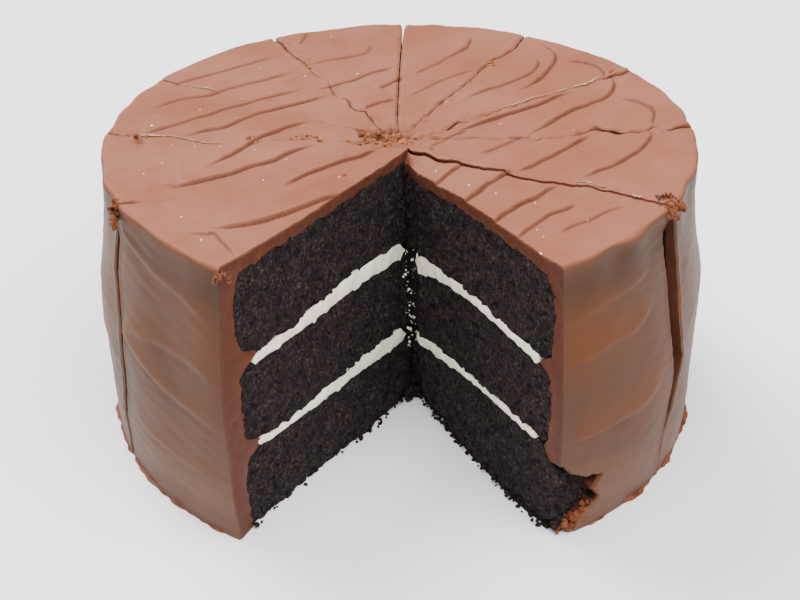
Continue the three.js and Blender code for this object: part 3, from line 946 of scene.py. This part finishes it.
def lump(centre, radii, seed, crumple=0.3, steps=7, spin=0.0):
    """A closed lump: a cube's skin swelled to a ball, stretched to the radii and crumpled by grains."""

    def place(u, v, w):
        cube = 2 * np.stack([u, v, w], -1) - 1
        ball = cube / np.linalg.norm(cube, axis=1, keepdims=True)
        rough = grains(ball + 7, 0.55, seed) + 0.5 * grains(ball + 7, 0.28, seed + 1) - 0.75
        body = ball * (1 + crumple * rough[:, None] * 1.6) * radii
        c, s = math.cos(spin), math.sin(spin)
        turned = body @ np.array([[c, s, 0], [-s, c, 0], [0, 0, 1]])
        return turned + centre

    return block((steps,) * 3, place)


def travel(path, share):
    """The place and the heading at each share of a smooth line, from the places just to either side."""
    line = curve_through(path, 8)
    k = share * (len(line) - 1)
    at, ahead, back = (
        np.stack([np.interp(k + step, np.arange(len(line)), line[:, axis]) for axis in range(3)], -1)
        for step in (0.0, 0.5, -0.5)
    )
    return at, (ahead - back) / np.linalg.norm(ahead - back, axis=1, keepdims=True)


def ribbon(path, width, thickness, seed, curl):
    """
    A closed, crinkled strip: along u it follows a smooth line, v runs across its width and w through its
    thickness. The strip rolls by curl half-turns and its edges wander.
    """

    def place(u, v, w):
        at, along = travel(path, u)
        flat = np.cross(along, [0, 0, 1.0])
        flat /= np.linalg.norm(flat, axis=1, keepdims=True) + 1e-9
        upright = np.cross(flat, along)
        roll = np.pi * curl * u + 0.7 * waves(u[:, None] * 30, 9, seed)
        wide = flat * np.cos(roll)[:, None] + upright * np.sin(roll)[:, None]
        thick = np.cross(along, wide)
        taper = np.sqrt(np.clip(4 * u * (1 - u), 0.02, 1))
        offset = (v - 0.5) * width * taper * (1 + 0.35 * waves(np.stack([u * 20, v * 3], -1), 5, seed + 1))
        crinkle = 0.5 * waves(np.stack([u * 26, v * 5], -1), 3.2, seed + 2)
        through = (w - 0.5) * thickness + crinkle * thickness
        return at + wide * offset[:, None] + thick * through[:, None]

    return block((44, 8, 2), place)


def smear(path, width, thickness, seed):
    """A flat closed streak along a smooth line (u), across it (v) and through it (w), thin at its edges."""

    def place(u, v, w):
        at, along = travel(path, u)
        aside = np.stack([-along[:, 1], along[:, 0], 0 * u], -1)
        ends = np.sqrt(np.clip(4 * u * (1 - u), 0.03, 1))
        uneven = 1 + 0.5 * waves(np.stack([u * 30, v * 2], -1), 6, seed)
        across = (v - 0.5) * width * ends * uneven
        crown = 1 - 0.8 * (2 * v - 1) ** 2
        lift = (w - 0.5) * thickness * crown * ends
        return at + aside * across[:, None] + np.array([0, 0, 1]) * lift[:, None]

    return block((40, 6, 2), place)


def top_level(x, y):
    """The height of the swept top at places in plan, away from the rim."""
    return TOP_MIDDLE + top_relief(x, y)[0]


def top_at(x, y):
    """The height of the swept top at one place."""
    return float(top_level(np.array([float(x)]), np.array([float(y)]))[0])


def foot_smear(first, last, seed):
    """
    Frosting squashed out along the foot: a thin tongue on the table that follows the foot round (u), runs
    out to a wandering edge (v) and thins towards it. It never leaves the cake's box.
    """

    def place(u, v, w):
        azimuth = first + (last - first) * u
        aim, _ = heading(azimuth)
        arc = (np.radians(azimuth) * BELLY_RADIUS)[:, None]
        fade = smooth(u / 0.04) * smooth((1 - u) / 0.04)
        width = (0.9 + 0.8 * waves(arc, 30, seed) + 0.25 * waves(arc, 8, seed + 1)) * fade
        inner = side_radius(0.0 * azimuth) - 2.5
        limit = BELLY_RADIUS / np.maximum(np.abs(aim[:, 0]), 0.5)
        limit = np.where(aim[:, 1] > 0, np.minimum(limit, BELLY_RADIUS / np.maximum(aim[:, 1], 0.5)), limit)
        outer = np.minimum(inner + 2.5 + np.maximum(width, 0.2), limit - 0.1)
        radius = inner + (outer - inner) * v
        thick = (1.2 + 0.5 * waves(arc, 14, seed + 2)) * (1 - 0.6 * v**2) * (0.25 + 0.75 * fade)
        height = 0.05 + np.maximum(thick, 0.25) * w
        return np.concatenate([aim * radius[:, None], height[:, None]], -1)

    return block((int(abs(last - first) * 2.2), 8, 3), place)


# ---------------------------------------------------------------- finishes


class Wire:
    """A node's output socket, so that shader maths on values is written as a Python expression."""

    def __init__(self, finish, socket):
        self.finish = finish
        self.socket = socket

    def _math(self, operation, *values):
        """A Math node on values or wires."""
        return self.finish.node("ShaderNodeMath", {"operation": operation}, dict(enumerate(values)))

    def __add__(self, other):
        return self._math("ADD", self, other)

    __radd__ = __add__

    def __sub__(self, other):
        return self._math("SUBTRACT", self, other)

    def __rsub__(self, other):
        return self._math("SUBTRACT", other, self)

    def __mul__(self, other):
        return self._math("MULTIPLY", self, other)

    __rmul__ = __mul__

    def __truediv__(self, other):
        return self._math("DIVIDE", self, other)

    def __rtruediv__(self, other):
        return self._math("DIVIDE", other, self)

    def clamp(self):
        """The value kept within 0..1."""
        return self._math("MINIMUM", self._math("MAXIMUM", self, 0.0), 1.0)

    def band(self, low, high):
        """0 below low, 1 above high and even between."""
        return ((self - low) / (high - low)).clamp()


class Finish:
    """One material being wired up."""

    def __init__(self, name):
        self.material = bpy.data.materials.new(name)
        self.material.use_nodes = True
        self.tree = self.material.node_tree
        self.tree.nodes.clear()

    def node(self, kind, settings=None, inputs=None, output=0):
        """Adds a node: its settings first, then its sockets' values or wires. Gives one of its outputs."""
        made = self.tree.nodes.new(kind)
        for setting, value in (settings or {}).items():
            setattr(made, setting, value)
        for socket, value in (inputs or {}).items():
            if isinstance(value, Wire):
                self.tree.links.new(value.socket, made.inputs[socket])
            else:
                made.inputs[socket].default_value = value
        return Wire(self, made.outputs[output])

    def place(self):
        """The place on the object, in metres."""
        return self.node("ShaderNodeTexCoord", output="Object")

    def mark(self, name):
        """A value stored on the mesh's points."""
        return self.node("ShaderNodeAttribute", {"attribute_name": name}, output="Fac")

    def noise(self, scale, detail=3.0, roughness=0.5, vector=None):
        """Noise of about 0..1 whose blotches are 1 / scale metres across."""
        return self.node("ShaderNodeTexNoise", {}, {
            "Vector": vector or self.place(), "Scale": scale, "Detail": detail, "Roughness": roughness,
        })

    def cells(self, scale):
        """Distance from the nearest of scattered points, about 1 / scale metres apart."""
        return self.node("ShaderNodeTexVoronoi", {}, {"Vector": self.place(), "Scale": scale})

    def stretched(self, turn, stretch):
        """Object places turned about the vertical and squeezed, so that a pattern is drawn out one way."""
        return self.node("ShaderNodeMapping", {"vector_type": "POINT"}, {
            "Vector": self.place(), "Rotation": (0, 0, turn), "Scale": stretch,
        })

    def mix(self, share, first, second):
        """One colour turning into another."""
        return self.node("ShaderNodeMix", {"data_type": "RGBA"}, {0: share, 6: first, 7: second}, output=2)

    def bump(self, height, distance, strength=1.0):
        """A normal tilted by a height pattern, whose full height is the distance in metres."""
        inputs = {"Height": height, "Distance": distance, "Strength": strength}
        return self.node("ShaderNodeBump", {}, inputs)

    def surface(self, **sockets):
        """The finished surface: the sockets of one Principled shader, by name."""
        named = {key.replace("_", " "): value for key, value in sockets.items()}
        shader = self.node("ShaderNodeBsdfPrincipled", {}, named)
        output = self.tree.nodes.new("ShaderNodeOutputMaterial")
        self.tree.links.new(shader.socket, output.inputs["Surface"])
        return self.material


def opaque(colour):
    """A colour with full alpha."""
    return (*colour, 1.0)


FROSTING_TINTS = (
    "frosting", "frosting_pale", "frosting_dull", "frosting_crest_highlight", "frosting_groove_shade", "frosting_shadow",
    "frosting_cut_shade", "frosting_inner", "side", "side_warm", "side_grey_shade", "side_under_rim_shade", "side_low_reflection",
)


def frosting_finish(name, look, torn_share=0.0, torn_colour=None):
    """Fudge frosting: satin brown with drag marks, paler lips and rim as painted highlight, and orange-brown
    where it tore.
    """
    f = Finish(name)
    tints = {key: opaque(getattr(look, key)) for key in FROSTING_TINTS}
    torn_colour = opaque(torn_colour or look.frosting_torn)
    drawn = f.stretched(math.radians(-38), (18, 110, 60))
    streaks = f.noise(6.0, 4.0, 0.6, drawn)
    blotches = f.noise(26.0, 3.0, 0.55)
    patches = f.noise(9.0, 2.0, 0.5)
    bands = f.noise(1.0, 3.0, 0.55, f.stretched(0, (11, 11, 42)))
    raw = f.noise(160.0, 3.0, 0.6)
    crest_highlight, groove_shade, torn, rim, cut = (f.mark(m) for m in ("crest_highlight", "groove_shade", "torn", "rim", "cut"))
    shade, deep, upright, swell_shade = (f.mark(m) for m in ("shade", "deep", "upright", "swell_shade"))
    bare, low = (f.mark(m) for m in ("bare", "low"))

    # The swept top, then the side with its bands, then one turning into the other over the rim.
    top = f.mix(blotches.band(0.35, 0.68), tints["frosting"], tints["frosting_pale"])
    top = f.mix(streaks.band(0.45, 0.8) * 0.35, top, tints["frosting_pale"])
    top = f.mix(bands.band(0.5, 0.75) * 0.45, top, tints["frosting_dull"])
    # Painted shade on the side: greyer in the hollows between the bands, warmer on their swells, mixed with
    # random tone from the bands noise.
    side = f.mix((bands * 0.6 + swell_shade * 0.7).band(0.38, 0.85), tints["side_grey_shade"], tints["side_warm"])
    side = f.mix(patches.band(0.45, 0.75) * 0.4, side, tints["side"])
    # Painted shade just under the rim.
    side = f.mix(shade * (0.3 + 0.5 * patches.band(0.3, 0.6)), side, tints["side_under_rim_shade"])
    # Partly painted reflection of the white table: paler and greyer towards the foot.
    side = f.mix(low * (0.35 + 0.65 * bands.band(0.35, 0.65)), side, tints["side_low_reflection"])
    # Painted shade: the upright side takes its own palette, darker than the top's for the same frosting.
    base = f.mix(upright.band(0.35, 0.95), top, side)

    # Painted shade in the grooves under the ridges and in the holes, and painted highlight on the ridges'
    # lips and the rim.
    base = f.mix((groove_shade * 1.1).clamp() * 0.85, base, tints["frosting_groove_shade"])
    base = f.mix(groove_shade.band(1.0, 1.8) * 0.8, base, tints["frosting_shadow"])
    # Painted highlight: paler ridge lips and rim.
    raised = (crest_highlight * (1 - upright * 0.8) * 0.5 + rim * 0.35).clamp()
    base = f.mix(raised, base, tints["frosting_crest_highlight"])

    # Cut faces, torn places and the chip, where the sponge shows through.
    near_sponge = deep.band(0.35, 0.95) * raw.band(0.35, 0.6)
    # Painted shade: cut faces darker than the top, warmer near the sponge.
    base = f.mix(cut, base, f.mix(near_sponge, tints["frosting_cut_shade"], tints["frosting_inner"]))
    tear = (torn + torn_share).clamp()
    base = f.mix(tear * raw.band(0.25, 0.55), base, torn_colour)
    base = f.mix(tear * (1 - raw.band(0.38, 0.5)) * 0.8, base, tints["frosting_shadow"])
    base = f.mix(bare.band(0.02, 0.08) * 0.8, base, torn_colour)
    ragged = f.mix(raw.band(0.46, 0.72) * 0.8, opaque(look.sponge_dark), tints["frosting_inner"])
    base = f.mix(bare.band(0.14, 0.24), base, ragged)

    side_marks = f.noise(7.0, 3.0, 0.6, f.stretched(0, (14, 14, 150)))
    fine = f.noise(420.0, 3.0, 0.6)
    relief = streaks * (1 - upright) * 0.5 + side_marks * upright * 0.14 + fine * 0.12
    roughness = look.frosting_roughness + 0.12 * (blotches - 0.5) + 0.2 * torn + 0.16 * rim
    return f.surface(
        Base_Color=base, Roughness=roughness, Specular_IOR_Level=look.frosting_shine,
        Normal=f.bump(relief, 0.0011, 0.55),
    )


def sponge_finish(name, look):
    """Very dark, open crumb: pores and crumbs at several sizes, matt throughout."""
    f = Finish(name)
    wide = f.noise(90.0, 3.0, 0.6)
    grain = f.noise(800.0, 4.0, 0.7)
    pores = f.cells(520.0)
    small = f.cells(1300.0)
    base = f.mix(grain.band(0.36, 0.60), opaque(look.sponge_dark), opaque(look.sponge))
    base = f.mix(grain.band(0.54, 0.70) * wide.band(0.25, 0.6), base, opaque(look.sponge_pale))
    lumps = f.noise(190.0, 2.0, 0.5)
    base = f.mix((1 - lumps.band(0.30, 0.55)) * 0.65, base, opaque(look.sponge_dark))
    # Painted shade: the sponge darkened in its pores, the pits of its bump.
    base = f.mix((1 - pores.band(0.10, 0.38)) * 0.7, base, opaque(look.sponge_dark))
    relief = pores.band(0.0, 0.6) * 0.8 + small.band(0.0, 0.6) * 0.4 + grain * 0.9
    return f.surface(
        Base_Color=base, Roughness=0.85, Specular_IOR_Level=0.12, Normal=f.bump(relief, 0.0011, 0.9),
    )


def cream_finish(name, look, full, thin):
    """Ivory filling, matt and slightly dragged, with a little crumb dust: where full and where thin."""
    f = Finish(name)
    drag = f.noise(150.0, 4.0, 0.65)
    dust = f.noise(900.0, 2.0, 0.5)
    base = f.mix(drag.band(0.35, 0.7), opaque(full), opaque(thin))
    base = f.mix(dust.band(0.66, 0.74) * 0.5, base, opaque(look.sponge_pale))
    relief = drag * 0.7 + dust * 0.3
    return f.surface(
        Base_Color=base, Roughness=0.6, Specular_IOR_Level=0.35, Normal=f.bump(relief, 0.0009, 0.6),
    )


def sugar_finish(name):
    """Clear white specks of sugar."""
    f = Finish(name)
    return f.surface(Base_Color=(0.9, 0.88, 0.84, 1), Roughness=0.35, Normal=f.bump(f.noise(900.0), 0.0003))


def floor_finish(name, tone):
    """Plain, even white paper."""
    f = Finish(name)
    base = f.mix(f.noise(3.0, 2.0) * 0.05, (tone, tone, tone, 1), (tone * 0.98, tone * 0.99, tone, 1))
    return f.surface(Base_Color=base, Roughness=0.75, Specular_IOR_Level=0.2)


FINISHES = {}


def finish(kind):
    """The material of that kind, made once."""
    if kind not in FINISHES:
        look = bpy.context.scene.cake_look
        FINISHES[kind] = {
            "frosting": lambda: frosting_finish("chocolate_frosting", look),
            "torn": lambda: frosting_finish("torn_frosting", look, 0.85),
            "golden": lambda: frosting_finish("crumbled_frosting", look, 0.85, look.frosting_golden),
            "sponge": lambda: sponge_finish("chocolate_sponge", look),
            "cream": lambda: cream_finish("cream_filling", look, look.cream, look.cream_shade),
            "streak": lambda: cream_finish("dragged_cream", look, look.streak, look.streak_shade),
            "sugar": lambda: sugar_finish("sugar"),
            "floor": lambda: floor_finish("paper_floor", look.floor_tone),
        }[kind]()
    return FINISHES[kind]


# ---------------------------------------------------------------- settings


def colour(name, description, default):
    """A colour setting."""
    return bpy.props.FloatVectorProperty(
        name=name, description=description, default=default, subtype="COLOR", size=3, min=0.0, max=1.0,
    )


def share(name, description, default):
    """A setting of 0..1."""
    return bpy.props.FloatProperty(
        name=name, description=description, default=default, min=0.0, max=1.0, subtype="FACTOR",
    )


class CakeLook(bpy.types.PropertyGroup):
    """Colours and sheen of the cake."""

    frosting: colour("Frosting", "Main colour of the swept top", (0.215, 0.073, 0.040))
    frosting_pale: colour("Pale frosting", "Where the top has dried paler", (0.250, 0.097, 0.062))
    # Painted highlight on the ridges' lips and along the rim.
    frosting_crest_highlight: colour("Crest", "Thin crests of the spatula marks and the rim", (0.265, 0.094, 0.046))
    # Painted shade along each ridge's drop and in the holes.
    frosting_groove_shade: colour("Groove", "The dark line under each spatula ridge", (0.085, 0.026, 0.015))
    # Painted shade: frosting on the cut faces darker than on the top.
    frosting_cut_shade: colour("Cut frosting", "Frosting inside a cut", (0.080, 0.027, 0.017))
    frosting_inner: colour("Inner frosting", "Cut frosting close to the sponge", (0.108, 0.037, 0.018))
    frosting_torn: colour("Torn frosting", "Frosting where it tore open", (0.150, 0.044, 0.017))
    frosting_golden: colour("Crumbled frosting", "Dry bits along the cuts", (0.300, 0.104, 0.029))
    frosting_dull: colour("Dull frosting", "Darker patches of the swept top", (0.185, 0.060, 0.031))
    frosting_shadow: colour("Deep frosting", "Hollows of torn frosting", (0.045, 0.013, 0.007))
    # Painted shade: the side colours are darker than the top's for the same frosting.
    side: colour("Side", "Main colour of the swept side", (0.089, 0.0335, 0.0155))
    side_warm: colour("Warm side", "Warmer bands of the side", (0.099, 0.0345, 0.0130))
    # Greyer patches of the side: random tone, and painted shade in the hollows between the bands.
    side_grey_shade: colour("Grey side", "Duller patches of the side", (0.070, 0.0350, 0.0230))
    # Partly painted reflection of the white table towards the foot.
    side_low_reflection: colour("Lower side", "Duller, paler frosting towards the table", (0.132, 0.072, 0.0520))
    # Painted shade on the side just under the rim.
    side_under_rim_shade: colour("Shaded side", "Thinly swept frosting under the rim", (0.048, 0.0220, 0.0135))
    streak: colour("Streak", "Cream dragged over the top", (0.400, 0.255, 0.150))
    streak_shade: colour("Streak hollows", "Thin parts of the dragged cream", (0.280, 0.130, 0.065))
    frosting_roughness: share("Roughness", "Roughness of the frosting", 0.47)
    frosting_shine: share("Shine", "Specular level of the frosting", 0.085)
    sponge: colour("Sponge", "Main colour of the sponge", (0.035, 0.0230, 0.0240))
    # Where it darkens the pores, this colour is painted shade.
    sponge_dark: colour("Sponge pores", "Pores of the sponge", (0.006, 0.0038, 0.0040))
    sponge_pale: colour("Sponge crumbs", "Raised crumbs of the sponge", (0.096, 0.062, 0.064))
    cream: colour("Cream", "Filling", (0.92, 0.86, 0.70))
    cream_shade: colour("Cream hollows", "Dragged filling", (0.80, 0.71, 0.53))
    floor_tone: share("Floor", "Brightness of the floor", 0.88)


class CakeStudio(bpy.types.PropertyGroup):
    """Camera and light."""

    distance: bpy.props.FloatProperty(
        name="Distance", description="Camera to target", default=0.6983, unit="LENGTH")
    elevation: bpy.props.FloatProperty(
        name="Elevation", description="Camera above the level", default=math.radians(31.33),
        subtype="ANGLE")
    roll: bpy.props.FloatProperty(
        name="Roll", description="Camera roll", default=math.radians(-0.79), subtype="ANGLE")
    target: bpy.props.FloatVectorProperty(
        name="Target", description="What the camera looks at, from the cake's axis at table level",
        default=(-0.00045, 0.0, 0.0421), subtype="XYZ", unit="LENGTH")
    lens: bpy.props.FloatProperty(
        name="Lens", description="Focal length in millimetres", default=74.3, unit="CAMERA")
    sky: bpy.props.FloatProperty(
        name="Sky", description="Strength of the white surroundings", default=0.55, min=0.0)
    overhead: bpy.props.FloatProperty(
        name="Overhead", description="Strength of the broad overhead light", default=5.6, min=0.0)
    key: bpy.props.FloatProperty(
        name="Key", description="Strength of the light from behind", default=4.8, min=0.0)


# ---------------------------------------------------------------- operators


class CAKE_OT_frosting(bpy.types.Operator):
    """Makes the swept, cut and chipped frosting of every slice"""

    bl_idname = "cake.frosting"
    bl_label = "Frosting"

    def execute(self, context):
        for number in SLICES:
            points, faces, masks = frosting_jacket(number)
            name = f"slice_{number:02d}_frosting"
            make_piece("swept_" + name, points, faces, finish("frosting"), "frosting", [name], masks)
        return {"FINISHED"}


class CAKE_OT_sponges(bpy.types.Operator):
    """Makes the three sponge layers of every slice"""

    bl_idname = "cake.sponges"
    bl_label = "Sponges"

    def execute(self, context):
        for number in SLICES:
            for layer in ("bottom", "middle", "top"):
                name = f"slice_{number:02d}_sponge_{layer}"
                skin = sponge_layer(number, layer)
                make_piece("crumb_" + name, *skin, finish("sponge"), "sponge", [name])
        return {"FINISHED"}


class CAKE_OT_fillings(bpy.types.Operator):
    """Makes the two cream fillings of every slice"""

    bl_idname = "cake.fillings"
    bl_label = "Fillings"

    def execute(self, context):
        for number in SLICES:
            for level in ("lower", "upper"):
                name = f"slice_{number:02d}_cream_{level}"
                skin = cream_filling(number, level)
                make_piece("spread_" + name, *skin, finish("cream"), "cream", [name])
        return {"FINISHED"}


class CAKE_OT_torn_bits(bpy.types.Operator):
    """Makes the frosting torn loose at the hub, along the cuts, at the rim and at the chipped foot"""

    bl_idname = "cake.torn_bits"
    bl_label = "Torn frosting"

    def execute(self, context):
        draw = np.random.default_rng(8)
        loose = []
        for k in range(26):
            turn, far = draw.uniform(0, 2 * np.pi), 2.5 + 8 * draw.random()
            spot = np.array([-2 + far * math.cos(turn) * 1.3, 1.5 + far * math.sin(turn) * 0.7])
            size = draw.uniform(0.55, 1.5)
            high = top_at(*spot)
            loose.append(lump((*spot, high), size * draw.uniform(0.6, 1.5, 3), 500 + k, 0.6, 6, turn))
        for k, spot in enumerate(LOOSE_BITS):
            size = draw.uniform(0.35, 0.85)
            high = top_at(*spot)
            loose.append(lump((*spot, high), size * draw.uniform(0.7, 1.6, 3), 600 + k, 0.6, 5, k * 1.3))
        make_piece("torn_crumbs", *join(loose), finish("golden"), "frosting", turned=False)
        curls = [
            ribbon(path, width, 0.9, 701 + 2 * k, roll)
            for k, (path, width, roll) in enumerate(CURLS)
        ]
        for first, count, middle, reach, sizes, steps in RIM_LUMPS:
            for k in range(first, first + count):
                spot = middle + draw.uniform(-1, 1, 3) * reach
                curls.append(lump(spot, draw.uniform(*sizes, 3), 720 + k, 0.6, steps, k % 20))
        make_piece("torn_curls", *join(curls), finish("torn"), "frosting", turned=False)
        foot = []
        for k in range(52):
            azimuth, far = draw.uniform(29.0, 37.4), draw.uniform(117.0, 120.8)
            aim, _ = heading(azimuth)
            size = draw.uniform(0.6, 1.7)
            high = 0.6 * size + draw.random() ** 1.5 * (3 + (azimuth - 28.6) * 1.1)
            foot.append(lump((*(aim * far), high), size * draw.uniform(0.6, 1.5, 3), 760 + k, 0.6, 7, k))
        make_piece("torn_foot", *join(foot), finish("torn"), "frosting", turned=False)
        smears = [foot_smear(first, last, 801 + 2 * k) for k, (first, last) in enumerate(FOOT_SMEARS)]
        make_piece("foot_smear", *join(smears), finish("torn"), "frosting", turned=False)
        return {"FINISHED"}


class CAKE_OT_crumbs(bpy.types.Operator):
    """Makes the sponge crumbs, cream crumbs and sugar specks that cling to the cake"""

    bl_idname = "cake.crumbs"
    bl_label = "Crumbs"

    def execute(self, context):
        draw = np.random.default_rng(12)
        dark = []
        for k in range(190):
            side = 10 if k % 3 == 0 else 1
            wall = WALLS[0] if side == 1 else WALLS[-1]
            aim, aside = heading(wall.azimuth)
            far = 106 * draw.random() ** (1.3 if side == 1 else 2.0)
            high = 3.5 * draw.random() ** 3
            reach, _, _, at_table = np.array(NOTCH_STRAY[side], float).T
            stray = np.interp(far, reach, at_table)
            out = draw.uniform(-1.2, 1.6) - (1.5 * smooth(1.15 - far / 75) if side == 1 else 0)
            size = draw.uniform(0.3, 0.95)
            spot = NOTCH_CORNER + aim * far + aside * (stray + (-out if side == 1 else out))
            radii = size * draw.uniform(0.7, 1.3, 3)
            dark.append(lump((*spot, high + 0.5 * size), radii, 900 + k, 0.5, 4, k))
        for k in range(60):
            corner = k < 34
            if corner:
                spot = NOTCH_CORNER + (3.6, -0.6) + draw.normal(0, 1, 2) * (2.6, 1.5)
            else:
                spot = heading(draw.uniform(28.6, 34))[0] * draw.uniform(115.5, 118.6)
            size = draw.uniform(0.6, 1.7)
            high = 0.4 * size + draw.random() ** 2 * (9 if corner else 7)
            dark.append(lump((*spot, high), size * draw.uniform(0.7, 1.3, 3), 1900 + k, 0.5, 5, k))
        make_piece("sponge_crumbs", *join(dark), finish("sponge"), "sponge", turned=False)
        pale = []
        for k in range(75):
            upper = draw.random() < 0.5
            z = draw.uniform(52, 76) if upper else draw.uniform(24, 48)
            spot = NOTCH_CORNER + (3.4 + 0.05 * (76 - z), -1.6) + draw.normal(0, 1, 2) * (2.2, 1.2)
            size = 0.15 + 0.5 * draw.random() ** 3
            pale.append(lump((*spot, z), size * draw.uniform(0.5, 1.5, 3), 1100 + k, 0.5, 4, k))
        make_piece("cream_crumbs", *join(pale), finish("cream"), "cream", turned=False)
        streaks = []
        for path, width in CREAM_STREAKS:
            line = curve_through(path, 4)
            high = top_level(line[:, 0], line[:, 1]) + 0.2
            route = np.concatenate([line, high[:, None]], -1)[::2]
            streaks.append(smear(route, width, 0.7, 1300 + len(streaks)))
        make_piece("cream_streaks", *join(streaks), finish("streak"), "cream", turned=False)
        specks = []
        for k, (x, y) in enumerate(SUGAR_SPECKS):
            size = draw.uniform(0.2, 0.4)
            z = top_at(x, y)
            specks.append(lump((x, y, z + 0.1), size * draw.uniform(0.6, 1.3, 3), 1400 + k, 0.3, 4, k))
        make_piece("sugar_specks", *join(specks), finish("sugar"), "cream", turned=False)
        return {"FINISHED"}


class CAKE_OT_stage(bpy.types.Operator):
    """Sets a plain pale floor, soft studio light and the camera"""

    bl_idname = "cake.stage"
    bl_label = "Studio"

    def execute(self, context):
        studio = context.scene.cake_studio
        half = 4.0
        mesh = bpy.data.meshes.new("floor")
        corners = [(-half, -half, 0), (half, -half, 0), (half, half, 0), (-half, half, 0)]
        mesh.from_pydata(corners, [], [(0, 1, 2, 3)])
        mesh.materials.append(finish("floor"))
        floor = bpy.data.objects.new("floor", mesh)
        context.scene.collection.objects.link(floor)
        world = bpy.data.worlds.new("surroundings")
        world.use_nodes = True
        background = world.node_tree.nodes["Background"]
        background.inputs["Color"].default_value = (1, 1, 1, 1)
        background.inputs["Strength"].default_value = studio.sky
        context.scene.world = world
        for name, place, spread_angle, strength in (
            ("overhead", (0.22, -0.38, 1.0), 70, studio.overhead),
            ("key", (-0.5, 0.6, 0.85), 38, studio.key),
        ):
            lamp = bpy.data.lights.new(name, "SUN")
            lamp.angle = math.radians(spread_angle)
            lamp.energy = strength
            light = bpy.data.objects.new(name, lamp)
            light.location = place
            light.rotation_euler = (-Vector(place)).to_track_quat("-Z", "Y").to_euler()
            context.scene.collection.objects.link(light)
        lens = bpy.data.cameras.new("camera")
        lens.lens = studio.lens
        camera = bpy.data.objects.new("camera", lens)
        pitch = Matrix.Rotation(math.pi / 2 - studio.elevation, 4, "X")
        turn = pitch @ Matrix.Rotation(studio.roll, 4, "Z")
        back = turn.to_3x3() @ Vector((0, 0, 1))
        target = Vector(studio.target) + Vector((0, AXIS_Y * MM, 0))
        camera.matrix_world = Matrix.Translation(target + back * studio.distance) @ turn
        context.scene.collection.objects.link(camera)
        context.scene.camera = camera
        return {"FINISHED"}


class CAKE_PT_panel(bpy.types.Panel):
    """Lists the pieces of the cake"""

    bl_idname = "CAKE_PT_panel"
    bl_label = "Layer cake"
    bl_space_type = "VIEW_3D"
    bl_region_type = "UI"
    bl_category = "Cake"

    def draw(self, context):
        for operator in OPERATORS:
            self.layout.operator(operator.bl_idname)
        for group in (context.scene.cake_look, context.scene.cake_studio):
            column = self.layout.column()
            for setting in group.__annotations__:
                column.prop(group, setting)


OPERATORS = (
    CAKE_OT_frosting, CAKE_OT_sponges, CAKE_OT_fillings, CAKE_OT_torn_bits, CAKE_OT_crumbs, CAKE_OT_stage,
)
CLASSES = (CakeLook, CakeStudio, *OPERATORS, CAKE_PT_panel)


def register():
    """Registers the classes and hangs the settings on the scene."""
    for cls in CLASSES:
        bpy.utils.register_class(cls)
    bpy.types.Scene.cake_look = bpy.props.PointerProperty(type=CakeLook)
    bpy.types.Scene.cake_studio = bpy.props.PointerProperty(type=CakeStudio)


def unregister():
    """Undoes register."""
    del bpy.types.Scene.cake_studio
    del bpy.types.Scene.cake_look
    for cls in reversed(CLASSES):
        bpy.utils.unregister_class(cls)


def main():
    """Makes every piece in order."""
    register()
    bpy.ops.cake.frosting()
    bpy.ops.cake.sponges()
    bpy.ops.cake.fillings()
    bpy.ops.cake.torn_bits()
    bpy.ops.cake.crumbs()
    bpy.ops.cake.stage()


if __name__ == "__main__":
    main()
